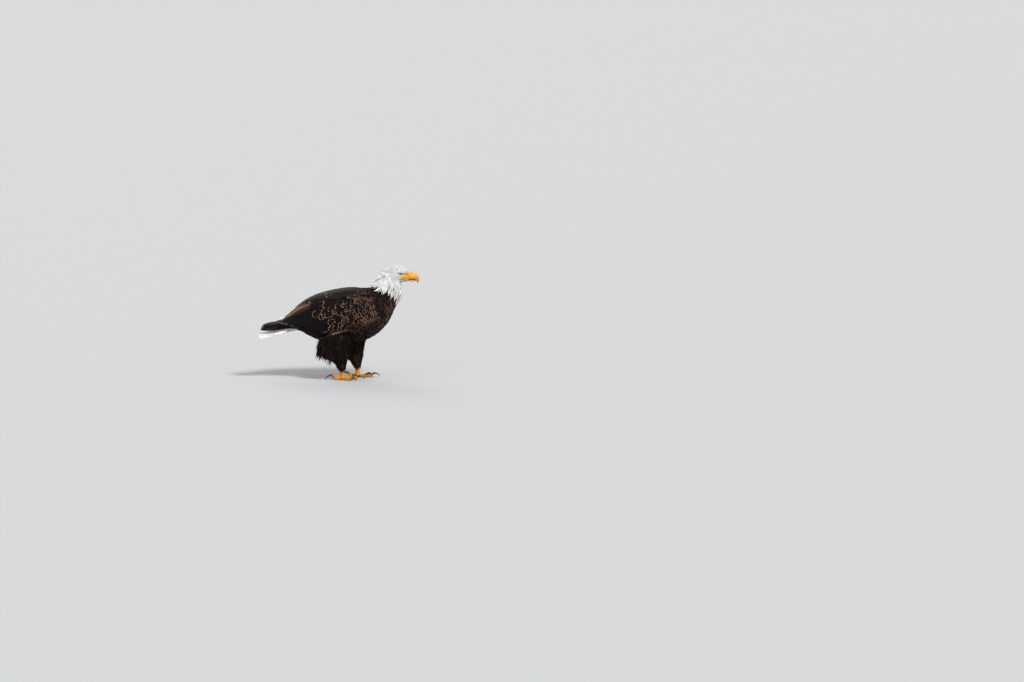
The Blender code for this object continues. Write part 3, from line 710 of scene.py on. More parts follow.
def loft_parts(rings: Array) -> Part:
    """Closed body through rings of equal count, with a fan over each end.

    Args:
        rings: points as rows, places round each row, and x, y, z.

    Returns:
        Points, the corners of all faces in one run, and the sizes of the faces.
    """
    rows, around, _ = rings.shape
    points = np.vstack([rings.reshape(-1, 3), rings[0].mean(axis=0), rings[-1].mean(axis=0)])
    quads = ring_quads(rows, around)
    j, k = np.arange(around), (np.arange(around) + 1) % around
    start = np.stack([np.full(around, rows * around), k, j], axis=-1)
    end = np.stack([np.full(around, rows * around + 1), (rows - 1) * around + j,
                    (rows - 1) * around + k], axis=-1)
    sizes = np.concatenate([np.full(len(quads), 4), np.full(2 * around, 3)])
    return points, np.concatenate([quads.ravel(), start.ravel(), end.ravel()]), sizes


def joined(parts: Sequence[Part]) -> Part:
    """Several bodies as one run of points, corners and sizes."""
    points, loops, sizes, offset = [], [], [], 0
    for co, corners, counts in parts:
        points.append(co)
        loops.append(corners + offset)
        sizes.append(counts)
        offset += len(co)
    return np.vstack(points), np.concatenate(loops), np.concatenate(sizes)


def solid_mesh(name: str, parts: Sequence[Part]) -> bpy.types.Mesh:
    """Smooth mesh of closed bodies with all faces turned outwards."""
    mesh = raw_mesh(name, *joined(parts))
    tidy = bmesh.new()
    tidy.from_mesh(mesh)
    bmesh.ops.recalc_face_normals(tidy, faces=tidy.faces)
    tidy.to_mesh(mesh)
    tidy.free()
    mesh.shade_smooth()
    return mesh


def mirrored(part: Part) -> Part:
    """The same body on the bird's other side."""
    return part[0] * np.array([1.0, -1.0, 1.0]), part[1], part[2]


def round_section(share: Array, angle: Array) -> tuple[Array, Array]:
    """Section of a plain round tube."""
    return np.sin(angle) + 0 * share, np.cos(angle) + 0 * share


def sweep(path: Array, radius: Array, side: Array, sides: int,
          section: Section = round_section) -> Array:
    """Rings round a path: centre + radius · (across · side + over · up), up square to the path.

    Args:
        path: middle line, one point a row.
        radius: one number a row.
        side: the sideways direction, the same for the whole path or one for each row.
        sides: points round each ring.
        section: gives (across, over) from the row's share and the angle.

    Returns:
        The rings.
    """
    ahead = unit(np.gradient(path, axis=0))
    side = np.broadcast_to(side, path.shape)
    over = unit(np.cross(side, ahead))
    over = over * np.where((over[..., 2:3].mean() < 0), -1.0, 1.0)
    angle = ring_angles(sides)[None, :]
    share = np.linspace(0.0, 1.0, len(path))[:, None]
    across, rise = section(share, angle)
    scale = np.asarray(radius)[:, None, None]
    return (path[:, None, :] + side[:, None, :] * across[..., None] * scale
            + over[:, None, :] * rise[..., None] * scale)


def union(piece: bpy.types.Object, other: bpy.types.Object, creased: bool = False) -> None:
    """Joins another closed body into a piece and deletes it.

    Args:
        piece: the body that stays.
        other: the body that goes into it.
        creased: whether either may cut itself at a tight bend, which takes longer.
    """
    boolean = piece.modifiers.new("union", "BOOLEAN")
    boolean.operation, boolean.solver, boolean.object = "UNION", "EXACT", other
    boolean.use_self = creased
    view = bpy.context.evaluated_depsgraph_get()
    mesh = bpy.data.meshes.new_from_object(piece.evaluated_get(view))
    piece.modifiers.clear()
    old, piece.data = piece.data, mesh
    bpy.data.meshes.remove(old)
    bpy.data.objects.remove(other, do_unlink=True)


# ---------------------------------------------------------------- finishes
Link = "bpy.types.NodeSocket | float | tuple"
Colour = tuple[float, float, float]


class Graph:
    """Short hand for wiring the nodes of one tree."""

    def __init__(self, tree: bpy.types.NodeTree) -> None:
        """Keeps the tree."""
        self.tree = tree

    def node(self, kind: str, inputs: dict[str | int, Link] | None = None,
             **settings: object) -> bpy.types.Node:
        """New node with settings and inputs, each a socket to link or a value."""
        node = self.tree.nodes.new("ShaderNode" + kind)
        for name, value in settings.items():
            setattr(node, name, value)
        self.wire(node, inputs or {})
        return node

    def wire(self, node: bpy.types.Node, inputs: dict[str | int, Link]) -> None:
        """Feeds several inputs of a node, by name or number."""
        for name, value in inputs.items():
            self.feed(node.inputs[name], value)

    def feed(self, socket: bpy.types.NodeSocket, value: Link) -> None:
        """Links a socket to another or sets its value."""
        if isinstance(value, bpy.types.NodeSocket):
            self.tree.links.new(value, socket)
        else:
            socket.default_value = value

    def math(self, operation: str, a: Link, b: Link = 0.0, clamp: bool = False
             ) -> bpy.types.NodeSocket:
        """Result of a Math node."""
        return self.node("Math", {0: a, 1: b}, operation=operation, use_clamp=clamp).outputs[0]

    def add(self, a: Link, b: Link, clamp: bool = False) -> bpy.types.NodeSocket:
        """Sum."""
        return self.math("ADD", a, b, clamp)

    def sub(self, a: Link, b: Link, clamp: bool = False) -> bpy.types.NodeSocket:
        """Difference."""
        return self.math("SUBTRACT", a, b, clamp)

    def mul(self, a: Link, b: Link) -> bpy.types.NodeSocket:
        """Product."""
        return self.math("MULTIPLY", a, b)

    def ramp(self, value: Link, low: Link, high: Link) -> bpy.types.NodeSocket:
        """Smooth step of a value from 0 at low to 1 at high."""
        return self.node("MapRange", {"Value": value, "From Min": low, "From Max": high},
                         interpolation_type="SMOOTHSTEP").outputs["Result"]

    def blend(self, factor: Link, a: Link, b: Link, blend_type: str = "MIX"
              ) -> bpy.types.NodeSocket:
        """Mix of two colours."""
        return self.node("Mix", {0: factor, 6: a, 7: b}, data_type="RGBA",
                         blend_type=blend_type).outputs[2]

    def bump(self, height: Link, strength: float, distance: float) -> bpy.types.NodeSocket:
        """Normal bent by a height."""
        return self.node("Bump", {"Height": height, "Strength": strength, "Distance": distance}
                         ).outputs["Normal"]

    def off_middle(self, across: Link) -> bpy.types.NodeSocket:
        """Distance from the middle of a vane, 1 at its sides, from the map's 0 to 1 across."""
        return self.math("ABSOLUTE", self.sub(self.mul(across, 2.0), 1.0))

    def fact(self, name: str) -> bpy.types.NodeSocket:
        """A number kept at the points of the mesh."""
        return self.node("Attribute", attribute_name=name).outputs["Fac"]

    def noise(self, scale: float, detail: float = 2.0) -> bpy.types.NodeSocket:
        """Noise on Object coordinates, from 0 to 1."""
        place = self.node("TexCoord").outputs["Object"]
        return self.node("TexNoise", {"Vector": place, "Scale": scale, "Detail": detail}
                         ).outputs["Fac"]


def rgba(colour: Colour) -> tuple[float, float, float, float]:
    """Opaque colour."""
    return (*colour, 1.0)


def new_material(name: str) -> tuple[bpy.types.Material, Graph, bpy.types.Node]:
    """New material with nodes: itself, its graph and its shader."""
    material = bpy.data.materials.new(name)
    material.use_nodes = True
    return material, Graph(material.node_tree), material.node_tree.nodes["Principled BSDF"]


def new_group(name: str, takes: Sequence[str], gives: Sequence[str]) -> tuple[
        bpy.types.NodeTree, Graph, Sockets, Sockets]:
    """New group with number sockets: the tree, its graph, what it takes and what it gives."""
    tree = bpy.data.node_groups.new(name, "ShaderNodeTree")
    for title in takes:
        tree.interface.new_socket(title, in_out="INPUT", socket_type="NodeSocketFloat")
    for title in gives:
        tree.interface.new_socket(title, in_out="OUTPUT", socket_type="NodeSocketFloat")
    inside, outside = tree.nodes.new("NodeGroupInput"), tree.nodes.new("NodeGroupOutput")
    return (tree, Graph(tree), {title: inside.outputs[title] for title in takes},
            {title: outside.inputs[title] for title in gives})


def barb_group() -> bpy.types.NodeTree:
    """Barbs and shaft of a vane.

    The barbs are stripes of along · Count - |across| · Slant, bent by noise, and the shaft is a
    ridge where |across| is near 0.
    """
    tree, graph, takes, gives = new_group("vane_barbs", ("Across", "Along", "Count", "Slant"),
                                          ("Height", "Shade", "Shaft"))
    off = graph.off_middle(takes["Across"])
    wander = graph.mul(graph.noise(260.0), 1.6)
    phase = graph.sub(graph.mul(takes["Along"], takes["Count"]), graph.mul(off, takes["Slant"]))
    wave = graph.math("SINE", graph.mul(graph.add(phase, wander), TURN))
    wave = graph.add(graph.mul(wave, 0.5), 0.5)
    shaft = graph.ramp(off, 0.10, 0.02)
    graph.feed(gives["Height"], graph.math("MAXIMUM", graph.mul(wave, 0.6), shaft))
    graph.feed(gives["Shade"], wave)
    graph.feed(gives["Shaft"], shaft)
    return tree


def fringe_group() -> bpy.types.NodeTree:
    """Mask of a vane's rim: the greater of a step across near the sides and one near the tip."""
    tree, graph, takes, gives = new_group("vane_fringe", ("Across", "Along", "Side", "Tip"),
                                          ("Mask",))
    off = graph.off_middle(takes["Across"])
    beside = graph.mul(graph.ramp(off, takes["Side"], graph.add(takes["Side"], 0.05)),
                       graph.ramp(takes["Along"], 0.55, 0.80))
    tip = graph.ramp(takes["Along"], takes["Tip"], graph.add(takes["Tip"], 0.015))
    graph.feed(gives["Mask"], graph.math("MAXIMUM", beside, tip))
    return tree


@dataclass(frozen=True)
class Plumage:
    """Finish of feather vanes, with colours for low and high tone, fade, fringe and stain, which
    also paints shade.

    Side and tip are where a vane's rim starts, as shares of its half-width and length.
    """

    name: str
    dark: Colour
    light: Colour
    faded: Colour
    fringe: Colour
    shaft: Colour
    # this colour is partly real stain and partly painted shade between white locks at the throat
    # and under the head
    stain: Colour = (0.16, 0.120, 0.095)
    barbs: float = 26.0
    slant: float = 5.0
    depth: float = 0.15
    rough: float = 0.62
    specular: float = 0.04
    glow: float = 0.0
    side: float = 0.79
    tip: float = 0.945

    def material(self, groups: dict[str, bpy.types.NodeTree]) -> bpy.types.Material:
        """Mixes by the facts tone, fade, fringe and stain, and lays barbs and shaft over it."""
        material, graph, shader = new_material(self.name)
        split = graph.node("SeparateXYZ", {"Vector": graph.node("UVMap", uv_map="vane").outputs[0]})
        place = {"Across": split.outputs[0], "Along": split.outputs[1]}
        barbs = graph.node("Group", {**place, "Count": self.barbs, "Slant": self.slant},
                           node_tree=groups["barbs"])
        fringe = graph.node("Group", {**place, "Side": self.side, "Tip": self.tip},
                            node_tree=groups["fringe"])
        patch = graph.mul(graph.noise(38.0, 3.0), 0.3)
        tone = graph.sub(graph.add(graph.mul(graph.fact("tone"), 0.8), patch), 0.1, clamp=True)
        rim = graph.mul(fringe.outputs["Mask"], graph.fact("fringe"))
        colour = graph.blend(tone, rgba(self.dark), rgba(self.light))
        for factor, over in ((graph.fact("fade"), self.faded), (rim, self.fringe),
                             (graph.fact("stain"), self.stain),
                             (graph.mul(barbs.outputs["Shaft"], 0.5), self.shaft)):
            colour = graph.blend(factor, colour, rgba(over))
        shade = graph.sub(1.0, graph.mul(barbs.outputs["Shade"], self.depth))
        grey = graph.node("CombineColor", {0: shade, 1: shade, 2: shade}).outputs[0]
        graph.wire(shader, {"Base Color": graph.blend(1.0, colour, grey, "MULTIPLY"),
                            "Normal": graph.bump(barbs.outputs["Height"], 0.35, 0.0006),
                            "Roughness": self.rough, "Specular IOR Level": self.specular,
                            "Subsurface Weight": self.glow,
                            "Subsurface Radius": (1.0, 1.0, 1.0), "Subsurface Scale": 0.0025})
        return material


DARK = Plumage("dark_plumage", (0.0026, 0.0023, 0.0030), (0.0080, 0.0058, 0.0058),
               (0.105, 0.046, 0.022), (0.640, 0.350, 0.245), (0.030, 0.019, 0.014))
WHITE = Plumage("white_plumage", (0.79, 0.775, 0.75), (0.94, 0.935, 0.92), (0.50, 0.43, 0.34),
                (0.93, 0.925, 0.91), (0.84, 0.82, 0.77), depth=0.03, rough=0.75, barbs=18.0,
                glow=0.35)
QUILL = Plumage("quill_plumage", (0.0030, 0.0029, 0.0034), (0.0075, 0.0066, 0.0070),
                (0.330, 0.140, 0.090), (0.55, 0.34, 0.25), (0.018, 0.013, 0.011), barbs=90.0,
                slant=16.0, rough=0.48)


@dataclass(frozen=True)
class SkinFinish:
    """Skin that carries the coat's markings: dark under dark, white under white, bare yellow, with
    painted shade on the bare face under the brow and round the eye.
    """

    dark: Colour = (0.012, 0.0085, 0.007)
    white: Colour = (0.80, 0.78, 0.74)
    bare: Colour = (0.56, 0.29, 0.045)
    foot: Colour = (0.70, 0.28, 0.014)
    foot_dim: Colour = (0.36, 0.125, 0.010)
    # colour of the painted shadow under the brow and the painted shade round the eye
    dusk: Colour = (0.030, 0.017, 0.007)

    def material(self) -> bpy.types.Material:
        """Mixes by the facts white, bare, dusk and foot; cells of scale edge the foot's skin."""
        material, graph, shader = new_material("skin")
        place = graph.node("TexCoord").outputs["Object"]
        cells = graph.node("TexVoronoi", {"Vector": place, "Scale": 420.0},
                           feature="DISTANCE_TO_EDGE").outputs["Distance"]
        edge = graph.ramp(cells, 0.16, 0.02)
        worn = graph.noise(120.0, 4.0)
        foot = graph.blend(graph.mul(worn, 0.7), rgba(self.foot), rgba(self.foot_dim))
        foot = graph.blend(graph.mul(edge, 0.6), foot, rgba(self.foot_dim))
        bare = graph.blend(graph.mul(worn, 0.5), rgba(self.bare), rgba(self.foot))
        # painted shade: darkens the bare skin under the brow and round the eye
        bare = graph.blend(graph.fact("dusk"), bare, rgba(self.dusk))
        colour = graph.blend(graph.fact("white"), rgba(self.dark), rgba(self.white))
        colour = graph.blend(graph.fact("bare"), colour, bare)
        colour = graph.blend(graph.fact("foot"), colour, foot)
        scales = graph.mul(graph.sub(1.0, edge), graph.fact("foot"))
        fine = graph.mul(graph.noise(900.0, 3.0), graph.fact("bare"))
        height = graph.add(scales, graph.add(graph.mul(worn, 0.3), fine))
        graph.wire(shader, {"Base Color": colour, "Normal": graph.bump(height, 0.5, 0.0006),
                            "Roughness": 0.6, "Specular IOR Level": 0.22})
        return material


@dataclass(frozen=True)
class HornFinish:
    """Horn of bill or claws: a colour at the root and one at the tip, by the fact tip."""

    name: str
    root: Colour
    tip: Colour
    # edge: colour of painted shade in the nostril, along the gape line and in the furrow at the
    # cere's end
    edge: Colour
    rough: float
    coat: float

    def material(self) -> bpy.types.Material:
        """Mixes root to tip, darkens with painted shade where the fact edge says, and lays growth
        lines over it.
        """
        material, graph, shader = new_material(self.name)
        tip = graph.fact("tip")
        cloud = graph.noise(70.0, 3.0)
        share = graph.add(tip, graph.mul(graph.sub(cloud, 0.5), 0.5), clamp=True)
        colour = graph.blend(share, rgba(self.root), rgba(self.tip))
        colour = graph.blend(graph.fact("edge"), colour, rgba(self.edge))
        lines = graph.math("SINE", graph.add(graph.mul(tip, 130.0), graph.mul(cloud, 9.0)))
        graph.wire(shader, {"Base Color": colour, "Normal": graph.bump(lines, 0.06, 0.0003),
                            "Roughness": graph.add(graph.mul(cloud, 0.15), self.rough),
                            "Coat Weight": self.coat, "Coat Roughness": 0.15})
        return material


BILL_HORN = HornFinish("bill_horn", (0.66, 0.275, 0.008), (0.60, 0.170, 0.006),
                       (0.11, 0.045, 0.012), 0.38, 0.04)
CLAW_HORN = HornFinish("claw_horn", (0.020, 0.017, 0.015), (0.008, 0.007, 0.007),
                       (0.05, 0.045, 0.04), 0.22, 0.6)


@dataclass(frozen=True)
class EyeFinish:
    """Wet eyeball: black pupil, pale iris with a dark rim, by the fact polar in degrees."""

    pupil: Colour = (0.002, 0.002, 0.002)
    iris: Colour = (0.78, 0.62, 0.22)
    iris_deep: Colour = (0.45, 0.30, 0.06)
    rim: Colour = (0.05, 0.035, 0.02)

    def material(self) -> bpy.types.Material:
        """Rings of colour by the angle from the eye's axis, under a clear coat."""
        material, graph, shader = new_material("eye")
        polar = graph.fact("polar")
        iris = graph.blend(graph.noise(900.0, 3.0), rgba(self.iris), rgba(self.iris_deep))
        colour = graph.blend(graph.ramp(polar, 15.0, 17.0), rgba(self.pupil), iris)
        colour = graph.blend(graph.ramp(polar, 34.0, 40.0), colour, rgba(self.rim))
        graph.wire(shader, {"Base Color": colour, "Roughness": 0.12, "Coat Weight": 1.0,
                            "Coat Roughness": 0.02})
        return material


# ---------------------------------------------------------------- the face's own marks
BODY = BodySurface()


def bare_face(point: Array) -> Array:
    """1 on the bare skin between bill and eye and along the gape, and 0 on the feathered face."""
    x, z = point[..., 0], point[..., 2]
    low = np.interp(x, [0.284, 0.300, 0.330], [0.4715, 0.4690, 0.4655])
    high = np.interp(x, [0.284, 0.292, 0.300, 0.308, 0.316, 0.323, 0.330],
                     [0.4755, 0.4800, 0.4890, 0.4960, 0.4995, 0.5015, 0.5062])
    return (ease(0.284, 0.288, x) * ease(-0.0010, 0.0008, z - low)
            * ease(0.0012, -0.0008, z - high))


def brow_shadow(point: Array) -> Array:
    """1 along the painted shadow on the skin under the brow, from behind the eye nearly to the
    bill.
    """
    x, z = point[..., 0], point[..., 2]
    line = np.interp(x, [0.280, 0.296, 0.312, 0.326], [0.5020, 0.5032, 0.5000, 0.4950])
    return dome(z - line, 0.0046) * ease(0.277, 0.283, x) * ease(0.327, 0.318, x)


def eye_gap(point: Array) -> Array:
    """Distance from the eye in the side view, in radii of an oval that is longer than it's high."""
    return np.hypot((point[..., 0] - EYE_CENTRE[0]) / 0.0102,
                    (point[..., 2] - EYE_CENTRE[2]) / 0.0085)


def locate(surface: Surface, u_span: tuple[float, float], v_span: tuple[float, float],
           x: Array, z: Array) -> tuple[Array, Array]:
    """Parameters of the places on a surface that lie nearest to points in the side view."""
    u, v = np.meshgrid(np.linspace(*u_span, 400), np.linspace(*v_span, 400), indexing="ij")
    points = surface.point(u, v).reshape(-1, 3)
    away = (points[None, :, 0] - x[:, None]) ** 2 + (points[None, :, 2] - z[:, None]) ** 2
    best = away.argmin(axis=1)
    return u.ravel()[best], v.ravel()[best]


# ---------------------------------------------------------------- skin and feet
@dataclass
class Skin:
    """One closed skin under the coat, with bare feet and face, in the coat's colours."""

    rings: int = 150
    around: int = 96

    def depth(self, u: Array, point: Array) -> Array:
        """How far the skin lies under the outline: the coat's depth, or next to none where bare."""
        deep = np.interp(u, [0.0, 6.0, 8.0, 10.0, 14.0], [0.009, 0.010, 0.008, 0.0038, 0.0024])
        return mixed(deep, 0.0002, bare_face(point))

    def trunk(self) -> Part:
        """Tail root to bill base."""
        u, v = tube_grid(0.0, 14.0, self.rings, self.around)
        here = BODY.places(u, v)
        return loft_parts(here.point - here.normal * self.depth(u, here.point)[..., None])

    def tail(self) -> Part:
        """Flattened stub inside the tail's root, as rings that go over and back under."""
        u = np.linspace(-0.05, 0.5, 12)[:, None]
        across = np.linspace(-0.85, 0.85, 16)
        over = TailSurface(1.0).point(u + 0 * across, across + 0 * u)
        under = TailSurface(-1.0).point(u + 0 * across, across + 0 * u)
        shrink = np.array([0.0, 0.0, 0.0025])
        return loft_parts(np.concatenate([over - shrink, (under + shrink)[:, ::-1]], axis=1))

    def wing(self, side: Side) -> Part:
        """Slab of the folded arm, under the coverts."""
        surface = WingSurface(side)
        u = np.linspace(0.15, 4.9, 60)[:, None]
        across = np.linspace(0.06, 0.93, 30)
        here = surface.places(u + 0 * across, across + 0 * u)
        share = (here.u / 5.2)[..., None]
        rim = np.minimum(here.u * 0.060, np.minimum(here.v, 1 - here.v) * 0.22)[..., None]
        round_off = 0.007 * (1 - np.sqrt(1 - (1 - np.clip(rim / 0.03, 0, 1)) ** 2))
        outer = here.point - here.normal * (0.0085 + round_off)
        inner = here.point - here.normal * (0.027 - 0.014 * share ** 2)
        return loft_parts(np.concatenate([outer, inner[:, ::-1]], axis=1))

    def leg(self, side: Side) -> Part:
        """Thigh and shank, thinner than their feathers."""
        surface = LegSurface(side)
        u, v = tube_grid(0.0, 6.95, 40, 48)
        here = surface.places(u, v)
        deep = np.interp(u, [0.0, 1.6, 3.0, 7.0], [0.011, 0.018, 0.009, 0.0042])
        return loft_parts(here.point - here.normal * deep[..., None])

    def build(self, feet: "Feet", finish: SkinFinish) -> bpy.types.Object:
        """Unites all bodies, and marks the result by where its points lie."""
        skin = finish_object("skin", solid_mesh("skin", [self.trunk()]), [])
        bodies = [("tail_stub", self.tail())]
        for side in Side:
            bodies += [("arm", self.wing(side)), ("leg", self.leg(side))]
        for name, part in bodies:
            union(skin, finish_object(name, solid_mesh(name, [part]), []))
        for side in Side:
            (name, shin), *rest = feet.bodies(side)
            foot = finish_object(name, solid_mesh(name, [shin]), [])
            for name, part in rest:
                union(foot, finish_object(name, solid_mesh(name, [part]), []), creased=True)
            union(skin, foot)
        self.mark(skin.data)
        skin.data.materials.clear()
        skin.data.materials.append(finish.material())
        return skin

    def mark(self, mesh: bpy.types.Mesh) -> None:
        """Levels the soles, and sets the facts white, bare, dusk and foot by place."""
        points = points_of(mesh)
        points[:, 2] = np.maximum(points[:, 2], 0.0)
        mesh.vertices.foreach_set("co", points.astype(np.float32).ravel())
        points[:, 0] -= SHIFT_X
        neck = ease(0.016, 0.028, collar(points))
        tail = ease(-0.150, -0.185, points[:, 0])
        side = np.abs(points[:, 1])
        orbit = ease(1.25, 1.0, eye_gap(points)) * ease(0.022, 0.026, side)
        # the skin under the brow gets a painted shadow, and the skin round the eye painted shade
        add_facts(mesh, white=np.maximum(neck, tail),
                  bare=np.maximum(bare_face(points) * ease(0.009, 0.012, side), orbit),
                  dusk=np.maximum(brow_shadow(points), 0.75 * orbit),
                  foot=ease(0.066, 0.060, points[:, 2]))
        mesh.shade_smooth()
        mesh.update()


@dataclass
class Feet:
    """Bare shins and toes with scutes above and pads below, and the claws.

    Clear is the claws' height over the floor, press how far the pads give, and scute the pitch of
    the plates. The ball of the foot has a height, half a thickness and a radius.
    """

    pitch: float = CLAW_PITCH
    turn: float = CLAW_TURN
    tip_radius: float = 0.0006
    stub: float = 0.0012
    clear: float = 0.0012
    press: float = 0.0008
    root_height: float = 0.0125
    claw_share: float = 0.86
    scute: float = 0.0042
    shin_z: tuple[float, ...] = (0.0085, 0.0200, 0.0380, 0.0557, 0.074)
    shin_radius: tuple[float, ...] = (0.0110, 0.0106, 0.0095, 0.0105, 0.0100)
    ball: tuple[float, float, float] = (0.0118, 0.0125, 0.0138)

    @staticmethod
    def ankle(side: Side) -> Array:
        """Where a shin meets the floor."""
        return np.array([FOOT_X[side], side.sign * LEG_APART, 0.0])

    @staticmethod
    def ways(side: Side, toe: Toe) -> tuple[Array, Array]:
        """Level ways along a toe and to its left."""
        heading = side.sign * math.radians(toe.degrees)
        cos, sin = math.cos(heading), math.sin(heading)
        return np.array([cos, sin, 0.0]), np.array([-sin, cos, 0.0])

    def arc_radius(self, toe: Toe) -> float:
        """Radius of a claw's arc from its chord."""
        return toe.chord / (2.0 * math.sin(self.turn / 2))

    def toe_path(self, side: Side, toe: Toe) -> tuple[Array, Array, Array]:
        """Middle line and radii of a toe that lies on its pads, and its end's rising way."""
        ahead, _ = self.ways(side, toe)
        rising = ahead * math.cos(self.pitch) + UP * math.sin(self.pitch)
        share = np.array([0.00, 0.28, 0.46, 0.68, 0.78, 1.00])
        swelling = np.array([1.00, 0.90, 1.04, 0.88, 1.06, 1.00])
        fall = math.cos(self.pitch) - math.cos(self.pitch - self.turn)
        end = self.clear + self.tip_radius + self.arc_radius(toe) * fall
        share[-2] = max(1.0 - (end - toe.tip) / math.tan(self.pitch) / toe.length, share[-2])
        radii = swelling * mixed(toe.root, toe.tip, share)
        height = radii - self.press
        height[0], height[-1] = self.root_height, end
        coarse = self.ankle(side) + ahead * (share * toe.length)[:, None] + UP * height[:, None]
        at = np.linspace(0.0, 5.0, 9)
        path = smooth_track(coarse, at)
        path[-2] = path[-1] - rising * np.linalg.norm(path[-1] - path[-2])
        fine = np.linspace(0.0, 8.0, 72)
        radii = smooth_curve(smooth_curve(radii, at), fine)
        return smooth_track(path, fine), radii, rising

    @staticmethod
    def toe_section(scutes: int) -> Section:
        """Section of a toe: plates that step up along its top, and creased pads below."""

        def section(share: Array, angle: Array) -> tuple[Array, Array]:
            """Round, swollen by a saw along the top and by lobes along the bottom."""
            top = ease(0.1, 0.75, np.cos(angle))
            bottom = ease(-0.1, -0.8, np.cos(angle))
            saw = (share * scutes) % 1.0
            plate = 0.085 * top * (1.0 - saw) ** 0.6 * ease(0.03, 0.12, share)
            lobe = 0.07 * bottom * np.abs(np.sin(share * scutes * 0.28 * math.pi))
            swell = 1.0 + plate + lobe - 0.03
            close = np.sqrt(np.clip((1.0 - share) / 0.035, 0.12, 1.0))
            return np.sin(angle) * swell * close, np.cos(angle) * swell * close

        return section

    def bodies(self, side: Side) -> list[tuple[str, Part]]:
        """Shin, ball of the foot and four toes of one side, as separate closed bodies."""
        ankle = self.ankle(side)
        height = np.linspace(self.shin_z[0], self.shin_z[-1], 60)
        radius = smooth_curve(self.shin_radius, np.interp(height, self.shin_z, range(5)))

        def shin_section(share: Array, angle: Array) -> tuple[Array, Array]:
            """Round with broad plates down the front."""
            front = ease(0.2, 0.8, np.cos(angle))
            swell = 1.0 + 0.05 * front * (1.0 - (share * 11) % 1.0) ** 0.6
            return np.sin(angle) * swell * 0.96, np.cos(angle) * swell * 1.05

        shin = self.upright_rings(ankle + UP * height[:, None], radius, shin_section)
        middle, half_height, ball_radius = self.ball
        turn = np.linspace(0, math.pi, 20)
        ball = self.upright_rings(ankle + UP * (middle - half_height * np.cos(turn))[:, None],
                                  ball_radius * np.sin(turn).clip(0.02))
        bodies = [("shin", loft_parts(shin)), ("ball", loft_parts(ball))]
        for name, toe in TOES.items():
            path, radii, _ = self.toe_path(side, toe)
            rings = sweep(path, radii, self.ways(side, toe)[1], 36,
                          self.toe_section(round(toe.length / self.scute)))
            bodies.append((name, loft_parts(rings)))
        return bodies

    @staticmethod
    def upright_rings(path: Array, radius: Array, section: Section = round_section) -> Array:
        """Level rings up a path; the section's height axis points straight ahead."""
        angle = ring_angles(40)[None, :]
        share = np.linspace(0, 1, len(path))[:, None]
        across, ahead = section(share, angle)
        rings = np.repeat(path[:, None, :], angle.size, axis=1)
        rings[..., 0] += ahead * radius[:, None]
        rings[..., 1] += across * radius[:, None]
        return rings

    def claws(self, finish: HornFinish) -> bpy.types.Object:
        """Eight claws along arcs, narrower than high, hollowed below and tapering to their tips."""

        def section(share: Array, angle: Array) -> tuple[Array, Array]:
            """Oval with a flat underside."""
            flat = np.where(np.cos(angle) < 0, 0.85, 1.0)
            return np.sin(angle) * 0.84 + 0 * share, np.cos(angle) * flat + 0 * share

        parts, tips = [], []
        share = np.linspace(0.0, 1.0, 40)
        for side in Side:
            for toe in TOES.values():
                ahead, sideways = self.ways(side, toe)
                path, _, rising = self.toe_path(side, toe)
                angle = self.pitch - self.turn * share
                radius = self.arc_radius(toe)
                arc = (path[-1] + rising * self.stub
                       + ahead * (radius * (math.sin(self.pitch) - np.sin(angle)))[:, None]
                       + UP * (radius * (np.cos(angle) - math.cos(self.pitch)))[:, None])
                middle = np.vstack([path[-1] - rising * 0.002, path[-1], arc])
                root_radius = self.claw_share * toe.tip
                radii = self.tip_radius + (root_radius - self.tip_radius) * (1 - share) ** 0.75
                radii = np.concatenate([[root_radius] * 2, radii])
                parts.append(loft_parts(sweep(middle, radii, sideways, 24, section)))
                row = np.repeat(np.concatenate([[0, 0], share]), 24)
                tips.append(np.concatenate([row, [0.0, 1.0]]))
        mesh = solid_mesh("claws", parts)
        add_facts(mesh, tip=np.concatenate(tips), edge=np.zeros(len(mesh.vertices)))
        return finish_object("claws", mesh, [finish.material()])


